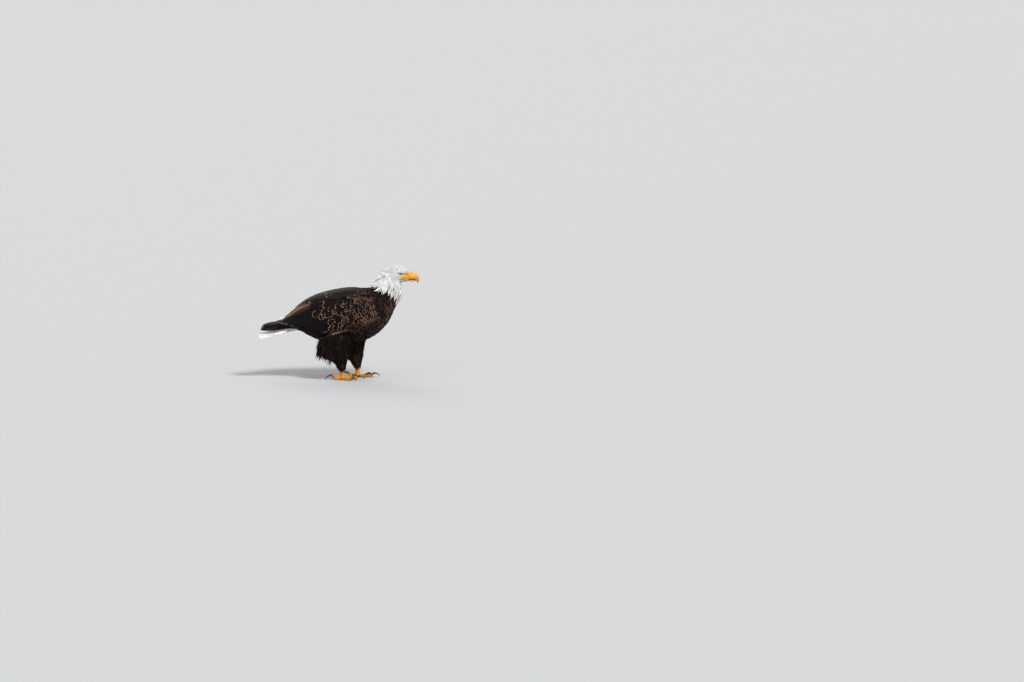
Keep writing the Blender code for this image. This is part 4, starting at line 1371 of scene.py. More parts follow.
# ---------------------------------------------------------------- bill, eyes and lids
@dataclass
class Bill:
    """Hooked upper bill with cere and nostrils, the lower bill, and the lips of the gape."""

    rows: int = 120
    around: int = 72
    cere_end: float = 1.18
    buried: tuple[float, float] = (0.22, 0.06)
    nostril: tuple[float, float] = (0.80, 0.95)
    flatness: float = 0.45

    def half(self, table: list, ridge: float) -> tuple[Array, Array, Array, Array]:
        """Rings of one half, with each point's section number, angle and hollow at the nostril."""
        buried = self.buried[0 if ridge > 0 else 1]
        stations = np.linspace(-buried, len(table) - 1.0, self.rows)[:, None]
        track = smooth_track([(*top, *bottom, wide) for top, bottom, wide in table], stations[:, 0])
        top, bottom, wide = track[:, None, 0:2], track[:, None, 2:4], track[:, None, 4]
        angle = ring_angles(self.around)[None, :]
        rise, side = np.cos(angle), np.sin(angle)
        flat = np.where(rise * ridge < 0, self.flatness, 1.0)
        rise = np.sign(rise) * np.abs(rise) ** flat
        turn = np.abs((angle + math.pi) % TURN - math.pi)
        swell = np.ones_like(stations + angle)
        hollow = np.zeros_like(swell)
        if ridge > 0:
            swell += 0.032 * ease(self.cere_end + 0.10, self.cere_end - 0.06, stations)
            place, height = self.nostril
            hollow = spot((stations - place) / 0.20, (turn - height) / 0.16)
            lip = ease(1.45, 1.70, turn) * ease(2.2, 1.95, turn)
            wave = 0.03 * np.sin(stations * 2.3)
            swell += (0.05 + wave) * lip * ease(0.2, 1.0, stations)
        tuck = mixed(0.90 if ridge > 0 else 0.45, 1.0, ease(-buried, 0.30, stations))
        lifted = (1.0 - tuck) * (ridge < 0)
        middle = (top + bottom) / 2 + (top - bottom) / 2 * lifted[..., None]
        spine = middle + (top - bottom) / 2 * (rise * swell * tuck ** (ridge < 0))[..., None]
        wide = wide * tuck
        rings = np.stack([spine[..., 0], wide * side * swell * (1 - 0.16 * hollow), spine[..., 1]],
                         axis=-1)
        rings[..., 0] += 0.0006
        if ridge < 0:
            last = len(table) - 1.0
            rings[..., 2] += (0.0012 * np.clip(np.cos(angle), 0, 1) ** 2 * ease(0.3, 1.2, stations)
                              * ease(last, last - 0.7, stations))
        return rings, stations + 0 * angle, turn + 0 * stations, hollow

    def build(self, finish: HornFinish) -> list[bpy.types.Object]:
        """Both halves as two pieces."""
        material = finish.material()
        pieces = []
        for name, table, ridge in (("bill_upper_horn", BILL_UPPER, 1.0),
                                   ("bill_lower_horn", BILL_LOWER, -1.0)):
            rings, stations, turn, hollow = self.half(table, ridge)
            mesh = solid_mesh(name, [loft_parts(rings)])
            tip = ease(0.9, len(table) - 1.5, stations) if ridge > 0 else 0.35 + 0 * stations
            # edge is painted shade: in the nostril's hollow, along the gape line under the upper
            # bill and in the furrow at the cere's end
            edge = ease(0.45, 0.80, hollow)
            if ridge > 0:
                edge = np.maximum(edge, 0.55 * ease(1.62, 1.80, turn) * ease(0.3, 1.0, stations))
                edge = np.maximum(edge, 0.12 * dome(stations - self.cere_end, 0.05))
            add_facts(mesh, **{title: np.append(values, [values[0].mean(), values[-1].mean()])
                               for title, values in (("tip", tip), ("edge", edge))})
            pieces.append(finish_object(name, mesh, [material]))
        return pieces


@dataclass
class Gape:
    """Fleshy yellow lips that run back from the bill's corner along the face to under the eye."""

    x: tuple[float, ...] = (0.3290, 0.3190, 0.3080, 0.2975, 0.2885)
    z_upper: tuple[float, ...] = (0.4700, 0.4702, 0.4710, 0.4725, 0.4748)
    z_lower: tuple[float, ...] = (0.4668, 0.4672, 0.4684, 0.4704, 0.4738)

    def parts(self) -> list[Part]:
        """Two tapering tubes a side, half sunk in the skin."""
        parts = []
        for heights, thick in ((self.z_upper, 0.0017), (self.z_lower, 0.0013)):
            fine = np.linspace(0.0, 4.0, 48)
            line = smooth_track(np.stack([self.x, heights], axis=-1), fine)
            u, v = locate(BODY, (10.5, 14.4), (1.2, 2.9), line[:, 0], line[:, 1])
            here = BODY.places(u, v)
            path = here.point - here.normal * 0.0005
            kernel = np.ones(7) / 7
            for axis in range(3):
                padded = np.pad(path[:, axis], 3, mode="edge")
                path[:, axis] = np.convolve(padded, kernel, mode="valid")
            share = np.linspace(0, 1, 48)
            ends = np.sqrt(np.clip((1 - share) / 0.06, 0.1, 1) * np.clip(share / 0.10, 0.02, 1))
            radius = thick * (1.0 - 0.75 * share ** 2) * ends
            part = loft_parts(sweep(path, radius, UP, 16))
            parts += [part, mirrored(part)]
        return parts


@dataclass
class Eyes:
    """Eyeballs that look a little forwards, their lids, and the brow ridges that shade them."""

    forward: float = 0.34
    raised: float = 0.03
    slant: float = 0.14
    brow_x: tuple[float, ...] = (0.2790, 0.2880, 0.2990, 0.3105, 0.3225)
    brow_z: tuple[float, ...] = (0.5056, 0.5062, 0.5058, 0.5036, 0.4998)
    brow_radius: tuple[float, ...] = (0.0010, 0.0032, 0.0040, 0.0032, 0.0005)

    def basis(self) -> tuple[Array, Array, Array]:
        """Forward, up and out of the left eye's opening."""
        out = unit(np.array([self.forward, 1.0, self.raised]))
        up = unit(UP - out * out[2])
        return np.cross(out, up), up, out

    def on_ball(self, polar: Array, angle: Array, radius: Array) -> Array:
        """Points by the angle from the axis, the angle round it and the radius."""
        ahead, up, out = self.basis()
        ring = ahead * np.cos(angle)[..., None] + up * np.sin(angle)[..., None]
        way = out * np.cos(polar)[..., None] + ring * np.sin(polar)[..., None]
        return EYE_CENTRE + way * np.asarray(radius)[..., None]

    def balls(self, finish: EyeFinish) -> bpy.types.Object:
        """Spheres with a clear bulge over the iris, ringed about the axis."""
        polar = np.linspace(0.02, math.pi - 0.02, 60)[:, None]
        angle = ring_angles(48)[None, :]
        radius = EYE_RADIUS * (0.985 + 0.035 * np.exp(-(polar / 0.55) ** 4)) + 0 * angle
        part = loft_parts(self.on_ball(polar + 0 * angle, angle + 0 * polar, radius))
        mesh = solid_mesh("eyeballs", [part, mirrored(part)])
        degrees = np.concatenate([np.repeat(np.degrees(polar[:, 0]), 48), [0.0, 180.0]])
        add_facts(mesh, polar=np.tile(degrees, 2))
        return finish_object("eyeballs", mesh, [finish.material()])

    def lid_parts(self) -> list[Part]:
        """A closed band round each opening: an oval flattened above, with a rounded rim.

        The opening's angle from the axis is one over the p-norm of (cos / width, sin / height).
        """
        angle = ring_angles(72)[:, None] + self.slant
        cos, sin = np.abs(np.cos(angle)), np.sin(angle)
        height = np.where(sin > 0, math.radians(22), math.radians(38))
        power = np.where(sin > 0, 2.8, 2.0)
        opening = ((cos / math.radians(47)) ** power
                   + (np.abs(sin) / height) ** power) ** (-1 / power)
        loop = [(0.1, 0.0), (0.8, 0.4), (1.3, 3.0), (1.5, 9.0), (1.2, 17.0), (0.2, 28.0),
                (-2.0, 38.0), (-1.6, 20.0), (-0.3, 6.0)]
        lift, away = np.array(loop).T
        polar = opening + np.radians(away)[None, :]
        points = self.on_ball(polar, angle - self.slant + 0 * polar,
                              EYE_RADIUS + lift[None, :] * 0.001 + 0 * polar)
        quads = ring_quads(*points.shape[:2], closed=True)
        part = (points.reshape(-1, 3), quads.ravel(), np.full(len(quads), 4))
        return [part, mirrored(part)]

    def brow(self) -> TubeSurface:
        """The left brow ridge as a surface."""
        x, z = np.array(self.brow_x), np.array(self.brow_z)
        u, v = locate(BODY, (10.5, 14.0), (0.3, 1.7), x, z)
        here = BODY.places(u, v)
        return TubeSurface(here.point + here.normal * 0.0010, self.brow_radius)


# ---------------------------------------------------------------- the coat
def inside_wing(point: Array, margin: float) -> Array:
    """Whether places lie behind the folded wing in the side view, a margin inside its outline."""
    table = np.array([(*low, *high) for low, high, _ in WING_SECTIONS])
    fine = smooth_track(table, np.linspace(0, 8, 65))
    outline = np.vstack([fine[:, [0, 2]], fine[::-1][:, [3, 5]]])
    following = np.roll(outline, -1, axis=0)
    result = np.ones(point.shape[:-1], bool)
    for dx, dz in ((margin, 0), (-margin, 0), (0, margin), (0, -margin)):
        x, z = point[..., 0, None] + dx, point[..., 2, None] + dz
        (x0, z0), (x1, z1) = outline.T, following.T
        crosses = (z0 > z) != (z1 > z)
        at = x0 + (z - z0) * (x1 - x0) / np.where(z1 == z0, 1e-9, z1 - z0)
        result &= (crosses & (x < at)).sum(axis=-1) % 2 == 1
    return result


def sized(u: Array, v: Array, rng: np.random.Generator, length: Array, width: Array, sink: Array,
          rise: Array, curl: Array = 0.0, scatter: float = 0.10, twist: float = 0.07,
          **facts: Array) -> Roots:
    """Roots with their sizes a little scattered, and a tone by chance.

    Args:
        u, v: places of the roots.
        rng: source of the scatter.
        length, width: sizes in metres.
        sink: depth of the roots under the surface.
        rise: height of the tips over it.
        curl: further lift at the tips, which grows with the cube of the share.
        scatter: spread of the sizes, as a share.
        twist: spread of the direction, in radians.
        facts: other facts for the finish.

    Returns:
        The roots.
    """
    n = len(u)

    def for_each(**values: Array) -> dict[str, Array]:
        """One number for each root."""
        return {name: np.broadcast_to(np.asarray(value, float), (n,)).copy()
                for name, value in values.items()}

    full = for_each(length=length, width=width, sink=sink, rise=rise, curl=curl)
    full["length"] *= 1.0 + scatter * rng.uniform(-1, 1, n)
    full["width"] *= 1.0 + scatter * rng.uniform(-1, 1, n)
    full["rise"] += rng.uniform(-0.0004, 0.0004, n)
    facts = for_each(**facts)
    facts.setdefault("tone", rng.random(n))
    for name in ("fade", "fringe", "stain"):
        facts.setdefault(name, np.zeros(n))
    return Roots(u=u, v=v, twist=rng.normal(0, twist, n), facts=facts, **full)


def scaled(along: float, across: float, at: Sequence[float], sizes: Sequence[float]) -> Pitches:
    """Pitches along and across, times a size that is read by the first parameter."""

    def pitches(u: Array, v: Array) -> tuple[Array, Array]:
        """The same all round."""
        size = np.interp(u, at, sizes)
        return along * size, across * size

    return pitches


def for_some(chance: Array, low: float, high: float, count: int, rng: np.random.Generator,
             otherwise: float = 0.0) -> Array:
    """A number between low and high for those feathers that a chance picks, or another one."""
    return np.where(rng.random(count) < chance, rng.uniform(low, high, count), otherwise)


def locks(u: Array, v: Array, count: int, rng: np.random.Generator) -> Array:
    """A number from 0 to 1 for each root, shared by all roots near the same chance centre."""
    centre_u, centre_v = rng.uniform(u.min(), u.max(), count), rng.uniform(0, TURN, count)
    away = (u[:, None] - centre_u) ** 2 * 1.6 + (2 * np.sin((v[:, None] - centre_v) / 2)) ** 2
    return rng.random(count)[away.argmin(axis=1)]


def collar(point: Array) -> Array:
    """Height over the line in the side view where the white hackles end on the dark body."""
    line = np.interp(point[..., 0],
                     [0.150, 0.156, 0.169, 0.199, 0.225, 0.236, 0.264, 0.280, 0.296, 0.310],
                     [0.445, 0.437, 0.420, 0.406, 0.402, 0.381, 0.358, 0.370, 0.391, 0.402])
    return point[..., 2] - line


def along_surface(here: Places) -> Array:
    """Growth along the first parameter."""
    return here.along_u


def carried(surface: Surface, u: Array, v: Array, flow: Flow, distance: Array) -> Array:
    """Points that lie a distance along a flow from places on a surface, reached in short steps."""
    strides = 5
    for _ in range(strides):
        here = surface.places(u, v)
        step_u, step_v = surface.steps(here, laid(here, flow(here)))
        u, v = u + step_u * distance / strides, v + step_v * distance / strides
    return surface.point(u, v)


def backward(here: Places) -> Array:
    """Growth from bill to tail along the body's own lines."""
    return -here.along_u


def backward_and_down(here: Places) -> Array:
    """Growth from bill to tail that also hangs a little."""
    return unit(-here.along_u) - 0.25 * UP


@dataclass
class BodyCoat:
    """Feathers of head, neck and trunk."""

    finishes: Finishes
    seed: int = 11
    head_locks: int = 330
    ridge_feathers: int = 300
    bristle_places: int = 7000
    neck_locks: int = 170
    filler_density: float = 85.0

    def head(self, brow: TubeSurface) -> bpy.types.Object:
        """Short dense white feathers, smallest at the bill, and those of the brow ridges."""
        rng = np.random.default_rng(self.seed)
        # closer towards the bill
        pitches = scaled(0.0036, 0.0024, [9.2, 11.0, 13.9], [1.55, 1.0, 0.72])
        u, v = rows_on(BODY, (9.3, 14.12), (0, TURN), pitches, rng)
        point = BODY.point(u, v)
        keep = (bare_face(point) < 0.55) & (eye_gap(point) > 1.02)
        u, v = u[keep], v[keep]
        size = np.interp(u, [9.2, 11.0, 12.5, 13.9], [2.0, 1.25, 0.95, 0.62])
        top = (1 + np.cos(v)) / 2
        low = ease(10.9, 9.6, u) * ease(0.1, -0.3, np.cos(v))
        # under the head the stain is partly painted shade on its underside
        stain = for_some(0.35 * low, 0.2, 0.7, len(u), rng)
        lock = locks(u, v, self.head_locks, rng)
        sink = np.interp(u, [9, 14], [0.005, 0.0024])
        roots = sized(u, v, rng, 0.0135 * size, 0.0043 * size, sink,
                      0.0003 + 0.0007 * lock * size, 0.0012 * top * ease(12.5, 10.0, u),
                      scatter=0.18, twist=0.10, stain=stain,
                      tone=mixed(rng.random(len(u)), lock, 0.6))
        roots.twist += 0.34 * (lock - 0.5)
        form = VaneForm(columns=3, rows=7, widest=0.40, tip_power=1.4, tip_root=0.85, roll=0.05,
                        camber=0.12, thickness=0.0003)
        sets = [grow(BODY, roots, form, backward, rng)]
        for flip in (1.0, -1.0):
            ridge = TubeSurface(brow.table[:, :3], brow.table[:, 3], flip, outward=flip)
            n = self.ridge_feathers
            u, v = 1.02 - 0.98 * rng.random(n), rng.uniform(-1.6, 1.95, n)
            roots = sized(u, v, rng, 0.0100, 0.0034, 0.0012, 0.0002, 0.0005, twist=0.12)
            sets.append(grow(ridge, roots, form, backward, rng))
        sets.append(self.bristles(rng))
        return vane_object("head_feathers", sets, [self.finishes["white"]])

    def bristles(self, rng: np.random.Generator) -> Vanes:
        """Fine sparse bristles on the bare face, and tiny feathers round its edge and the eye's."""
        n = self.bristle_places
        u, v = rng.uniform(10.8, 14.12, n), rng.uniform(0.0, 2.7, n) * rng.choice([-1, 1], n)
        point = BODY.point(u, v)
        bare, gap = bare_face(point), eye_gap(point)
        edge = (bare < 0.75) & (gap > 0.98) & ((bare > 0.005) | (gap < 1.8) | (u > 13.5))
        sparse = (bare > 0.5) & (gap > 1.15) & (rng.random(n) < 0.13)
        keep = edge | sparse
        u, v, sparse = u[keep], v[keep], sparse[keep]
        roots = sized(u, v, rng, np.where(sparse, 0.0046, 0.0056), np.where(sparse, 0.0005, 0.0019),
                      0.0010, 0.0005, 0.0006, scatter=0.25, twist=0.30,
                      stain=np.where(sparse, 0.55, 0.0))
        form = VaneForm(columns=3, rows=5, widest=0.35, tip_power=1.3, tip_root=0.9, roll=0.04,
                        camber=0.10, thickness=0.0002)
        return grow(BODY, roots, form, backward, rng)

    def neck(self) -> bpy.types.Object:
        """Long pointed white hackles, lifted off the back, with dusky streaks at the throat, partly
        stain and partly painted shade between the locks.
        """
        rng = np.random.default_rng(self.seed + 1)
        # wider downwards
        pitches = scaled(0.0064, 0.0040, [7.4, 9.8], [1.30, 0.75])
        u, v = rows_on(BODY, (7.2, 9.95), (0, TURN), pitches, rng)
        length = np.interp(u, [7.5, 8.4, 9.8], [0.052, 0.048, 0.026])
        tips = carried(BODY, u, v, backward_and_down, length)
        keep = collar(tips) > rng.uniform(-0.006, 0.010, len(u))
        u, v, length = u[keep], v[keep], length[keep]
        top, low = (1 + np.cos(v)) / 2, ease(9.2, 8.0, u)
        throat = ease(1.25, 0.5, np.abs(np.abs(v - math.pi) - 0.75)) * ease(9.9, 8.9, u)
        # throat streaks: part stain, part painted shade between the hackle locks
        stain = for_some(0.66 * throat, 0.45, 1.0, len(u), rng)
        lock = locks(u, v, self.neck_locks, rng)
        roots = sized(u, v, rng, length, np.interp(u, [7.5, 9.8], [0.0092, 0.0062]),
                      np.interp(u, [7.5, 9.8], [0.007, 0.0042]),
                      0.0010 + 0.0018 * low + 0.0030 * lock, 0.0075 * top * low + 0.001,
                      scatter=0.22, twist=0.10, stain=stain,
                      tone=mixed(rng.random(len(u)), lock, 0.6))
        roots.twist += 0.44 * (lock - 0.5)
        form = VaneForm(columns=5, rows=9, widest=0.32, tip_power=1.2, tip_root=0.95, camber=0.16,
                        ragged=0.12, roll=0.05, thickness=0.0004)
        grown = grow(BODY, roots, form, backward_and_down, rng)
        loose = self.loose_hackles(form, rng)
        return vane_object("neck_hackles", [grown, *loose], [self.finishes["white"]])

    @staticmethod
    def loose_hackles(form: VaneForm, rng: np.random.Generator) -> list[Vanes]:
        """Locks that stand off the nape behind and hang clear of the throat in front."""
        sets = []
        for count, middle, u_span, length, lift in ((44, 0.0, (8.0, 8.7), 0.046, 0.024),
                                                    (56, 0.0, (8.7, 10.8), 0.030, 0.014),
                                                    (54, math.pi, (8.1, 9.3), 0.050, 0.010)):
            for roll in (-0.8, 0.8):
                banked = replace(form, roll=roll, camber=0.3)
                u, v = rng.uniform(*u_span, count), middle + rng.normal(0, 0.42, count)
                lifted = lift * rng.random(count) ** 0.7
                roots = sized(u, v, rng, length, 0.0085, 0.004, 0.002, lifted, scatter=0.20,
                              twist=0.16)
                sets.append(grow(BODY, roots, banked, backward_and_down, rng))
        return sets

    def trunk(self) -> bpy.types.Object:
        """Dark body feathers with paler rims, and white coverts under and over the tail's root."""
        rng = np.random.default_rng(self.seed + 2)
        # closer on the breast
        pitches = scaled(0.0150, 0.0118, [0.0, 4.5, 7.5], [1.15, 1.0, 0.72])
        u, v = rows_on(BODY, (0.1, 8.6), (0, TURN), pitches, rng)
        point = BODY.point(u, v)
        keep = ~(inside_wing(point, 0.014) & (np.abs(point[..., 1]) > 0.046))
        keep &= collar(point) < rng.uniform(0.030, 0.042, len(u))
        u, v = u[keep], v[keep]
        size = np.interp(u, [0.0, 4.5, 7.5], [1.25, 1.0, 0.80])
        top = (1 + np.cos(v)) / 2
        # the breast's front gets more fade and stronger rims: real rusty rims, with painted
        # highlights of its lit feather edges
        front = ease(4.6, 6.4, u) * ease(0.5, 0.1, top)
        fringe = rng.uniform(0.05, 0.55, len(u)) * mixed(0.5, 1.2, front)
        fade = for_some(mixed(0.08, 0.50, front), 0.1, 0.6, len(u), rng)
        # the rings close at the tail's end, so no feather may run far past it
        length = np.minimum(0.052 * size, 0.050 * (u + 0.55))
        roots = sized(u, v, rng, length, 0.023 * size, 0.0095, 0.0008 + 0.0020 * top,
                      0.0012, twist=0.09, fringe=fringe, fade=fade * mixed(0.6, 1.0, front))
        form = VaneForm(columns=5, rows=9, widest=0.58, tip_power=2.1, tip_root=0.55)
        white = u < 1.35 - 0.35 * top
        sets = [grow(BODY, roots.only(~white), form, backward_and_down, rng),
                grow(BODY, roots.only(white), form, backward, rng), *self.fillers(form, rng)]
        finishes = [self.finishes["dark"], self.finishes["white"]]
        return vane_object("body_feathers", sets, finishes, [0, 1, 0, 0, 0])

    def fillers(self, form: VaneForm, rng: np.random.Generator) -> list[Vanes]:
        """Dark feathers in the valley between the folded wings, and on each flank under a wing."""
        back = np.array([[-0.040, 0.0, 0.398], [-0.100, 0.0, 0.374], [-0.160, 0.0, 0.338],
                         [-0.205, 0.0, 0.300], [-0.240, 0.0, 0.274]])
        flank = np.array([[0.150, 0.056, 0.266], [0.090, 0.070, 0.251], [0.020, 0.074, 0.241],
                          [-0.060, 0.067, 0.237], [-0.130, 0.060, 0.234]])
        sets = []
        for path, reach, flip in ((back, 1.4, 1.0), (flank, 3.1, 1.0), (flank, 3.1, -1.0)):
            n = int(self.filler_density * reach)
            tube = TubeSurface(path, (0.012, 0.015, 0.017, 0.017, 0.010), flip, outward=-flip)
            roots = sized(rng.uniform(0.0, 0.68, n), rng.uniform(-reach, reach, n), rng, 0.058,
                          0.020, 0.004, 0.0015, 0.001, scatter=0.2, twist=0.12,
                          fringe=rng.uniform(0.1, 0.6, n))
            sets.append(grow(tube, roots, form, along_surface, rng))
        return sets


@dataclass(frozen=True)
class QuillBand:
    """A row of long feathers: places of the first and last root and tip, depth, width, colour.

    Lift is the height of the tips over the depth at which the rest of the row lies.
    """

    count: int
    roots: tuple[tuple[float, float], tuple[float, float]]
    tips: tuple[tuple[float, float], tuple[float, float]]
    depth: tuple[float, float]
    width: float
    form: VaneForm
    fade: tuple[float, ...] = (0.0,)
    fringe: float = 0.5
    scatter: float = 0.06
    lift: float = 0.0


LONG_QUILL = VaneForm(columns=7, rows=16, widest=0.5, tip_power=2.0, tip_root=0.62, camber=0.10,
                      ragged=0.02, thickness=0.0008)
BROAD_QUILL = VaneForm(columns=7, rows=14, widest=0.6, tip_power=2.6, tip_root=0.5, camber=0.17,
                       ragged=0.03, thickness=0.0007)
NARROW_QUILL = VaneForm(columns=5, rows=12, widest=0.5, tip_power=1.8, tip_root=0.6, camber=0.18,
                        ragged=0.06, thickness=0.0006)
QUILL_BANDS = (
    QuillBand(9, ((4.3, 0.16), (4.3, 0.62)), ((7.98, 0.42), (7.60, 0.97)), (0.0085, 0.0045), 0.030,
              LONG_QUILL),
    QuillBand(9, ((3.0, 0.12), (3.2, 0.74)), ((5.60, 0.24), (6.45, 0.82)), (0.0050, 0.0026), 0.038,
              BROAD_QUILL, fringe=0.7),
    QuillBand(5, ((3.1, 0.66), (3.1, 0.84)), ((5.62, 0.80), (6.02, 0.96)), (0.0020, 0.0004), 0.036,
              BROAD_QUILL, fade=(0.10, 0.38, 0.95, 0.48, 0.16), fringe=0.8, scatter=0.05),
    QuillBand(8, ((1.5, 0.74), (1.3, 1.00)), ((4.30, 0.79), (5.05, 1.01)), (-0.0012, -0.0016),
              0.028, BROAD_QUILL, fade=(0.02, 0.0, 0.01, 0.0), fringe=0.7, scatter=0.22,
              lift=0.0024),
    QuillBand(8, ((1.0, 0.75), (0.8, 1.01)), ((3.10, 0.80), (3.75, 1.02)), (-0.0012, -0.0016),
              0.027, BROAD_QUILL, fade=(0.02, 0.0, 0.04, 0.0), fringe=0.7, scatter=0.22,
              lift=0.0042),
    QuillBand(11, ((1.9, 0.20), (3.0, 0.04)), ((3.30, 0.06), (4.45, -0.08)), (-0.0010, 0.0020),
              0.017, NARROW_QUILL, fringe=1.0, scatter=0.16,
              fade=(0.05, 0.5, 0.0, 0.15, 0.75, 0.1, 0.55, 0.0, 0.8, 0.25, 0.1)),
)


@dataclass
class WingCoat:
    """Coverts and quills of one folded wing."""

    side: Side
    finishes: Finishes
    seed: int = 41

    @staticmethod
    def lie(here: Places) -> Array:
        """Back and down: level near the lower edge and behind, steepest in the wing's middle."""
        steep = mixed(8.0, 56.0, ease(0.02, 0.36, here.v))
        steep *= mixed(1.0, 0.5, ease(0.74, 1.0, here.v)) * mixed(1.0, 0.22, ease(3.0, 5.0, here.u))
        turn = np.radians(steep)
        return np.stack([-np.cos(turn), np.zeros_like(turn), -np.sin(turn)], axis=-1)

    def coverts(self) -> bpy.types.Object:
        """Small marginal coverts in front and below to long scapulars behind, with pale rims."""
        surface = WingSurface(self.side)
        rng = np.random.default_rng(self.seed)

        def size(u: Array, v: Array) -> Array:
            """Share of the full size: least at the wrist and the lower edge."""
            return np.interp(u, [0.0, 1.4, 2.8, 4.2], [0.46, 0.58, 0.95, 1.20]) * mixed(
                0.66, 1.0, ease(0.0, 0.30, v))

        def pitches(u: Array, v: Array) -> tuple[Array, Array]:
            """In step with the size."""
            return 0.0215 * size(u, v), 0.0200 * size(u, v)

        u, v = rows_on(surface, (-0.12, 4.1), (0.0, 1.03), pitches, rng)
        keep = u < 3.14 + 0.20 * ease(0.2, 0.45, v) - 0.9 * ease(0.30, 0.05, v) - 2.0 * ease(
            0.78, 0.90, v) + rng.uniform(-0.18, 0.18, len(u))
        u, v = u[keep], v[keep]
        big = size(u, v)
        rim = ease(0.12, -0.05, u) + ease(0.06, 0.0, v)
        fringe = for_some(0.72, 0.50, 1.0, len(u), rng, otherwise=0.06)
        fringe *= mixed(0.30, 1.0, ease(0.08, 0.25, v) * ease(0.97, 0.78, v))
        patch = ease(0.2, 0.9, np.sin(3.1 * u + 1.3) * np.sin(9.0 * v + 2.0 * u))
        fade = for_some(mixed(0.06, 0.55, patch), 0.10, 0.60, len(u), rng)
        slim = mixed(0.36, 0.46, ease(0.0, 0.3, v))
        roots = sized(u, v, rng, 0.068 * big, 0.068 * big * slim, 0.0075 + 0.004 * rim,
                      0.0014, 0.0012, twist=0.10, fringe=fringe, fade=fade)
        form = VaneForm(columns=7, rows=11, widest=0.66, tip_power=2.3, tip_root=0.5, camber=0.16,
                        ragged=0.05)
        grown = grow(surface, roots, form, self.lie, rng)
        return vane_object("wing_coverts_" + self.side.word, [grown], [self.finishes["dark"]])

    def quills(self) -> bpy.types.Object:
        """Black primaries and secondaries, rusty tertials, long scapulars and lower streaks."""
        rng = np.random.default_rng(self.seed + 1)
        sets = [self.row(band, rng) for band in QUILL_BANDS]
        return vane_object("wing_quills_" + self.side.word, sets, [self.finishes["quill"]])

    def row(self, band: QuillBand, rng: np.random.Generator) -> Vanes:
        """One band of quills along straight lines in the wing's own parameters."""
        q = np.linspace(0.0, 1.0, band.count)
        u0, v0 = (mixed(band.roots[0][k], band.roots[1][k], q) for k in (0, 1))
        u1, v1 = (mixed(band.tips[0][k], band.tips[1][k], q) for k in (0, 1))
        u1 = u1 + rng.uniform(-1, 1, band.count) * band.scatter
        level = mixed(*band.depth, q)
        fade = np.interp(q, np.linspace(0, 1, len(band.fade)), band.fade)
        roots = sized(u0, v0, rng, 0.2, band.width, level + 0.004, band.lift - level, scatter=0.04,
                      twist=0.0, fade=fade, fringe=band.fringe * (0.3 + 0.7 * fade))

        def lines(share: float) -> tuple[Array, Array]:
            """Straight from root to tip."""
            return mixed(u0, u1, share), mixed(v0, v1, share)

        return grow(WingSurface(self.side), roots, band.form, None, rng, lines)


@dataclass
class TailCoat:
    """Twelve white tail feathers in an arched fan, and their coverts."""

    finishes: Finishes
    seed: int = 71
    feathers: int = 12
    coverts: int = 90
    crest: int = 46

    def build(self) -> bpy.types.Object:
        """Grows quills along the fan, the middle pair on top, then coverts over and under."""
        rng = np.random.default_rng(self.seed)
        upper, lower = TailSurface(1.0), TailSurface(-1.0)
        place = (np.arange(self.feathers) + 0.5) / self.feathers * 2 - 1
        under = np.abs(place) * 0.0036
        roots = sized(np.zeros(self.feathers), place * 0.5, rng, 0.18, 0.031, 0.004 + under,
                      0.0004 - under, -0.005 * np.abs(place), scatter=0.03, twist=0.0, fringe=0.0)
        form = VaneForm(columns=7, rows=14, widest=0.72, tip_power=2.4, tip_root=0.5, stem=0.6,
                        camber=0.07, ragged=0.03, roll=0.0, thickness=0.0007)
        end = 1.0 - 0.012 * rng.random(self.feathers)

        def lines(share: float) -> tuple[Array, Array]:
            """Rays of the fan."""
            return end * share, place * mixed(0.5, 0.74, share)

        sets = [grow(upper, roots, form, None, rng, lines)]
        covert = VaneForm(columns=5, rows=9, widest=0.55, tip_power=2.0, tip_root=0.6)
        for surface, reach in ((upper, 0.30), (lower, 0.34)):
            n = self.coverts
            u, v = rng.uniform(-0.12, reach, n), rng.uniform(-0.92, 0.92, n)
            roots = sized(u, v, rng, 0.062, 0.022, 0.004, 0.0012, scatter=0.15, twist=0.06)
            sets.append(grow(surface, roots, covert, along_surface, rng))
        n = self.crest
        path = np.array([[-0.205, 0.0, 0.264], [-0.245, 0.0, 0.275], [-0.280, 0.0, 0.280]])
        crest = TubeSurface(path, (0.016, 0.014, 0.007), outward=-1.0)
        roots = sized(rng.uniform(0.0, 0.36, n), rng.uniform(-1.3, 1.3, n), rng, 0.044, 0.0085,
                      0.003, 0.0015, 0.005 * rng.random(n), scatter=0.25, twist=0.14)
        sets.append(grow(crest, roots, covert, along_surface, rng))
        return vane_object("tail_feathers", sets, [self.finishes["white"]])


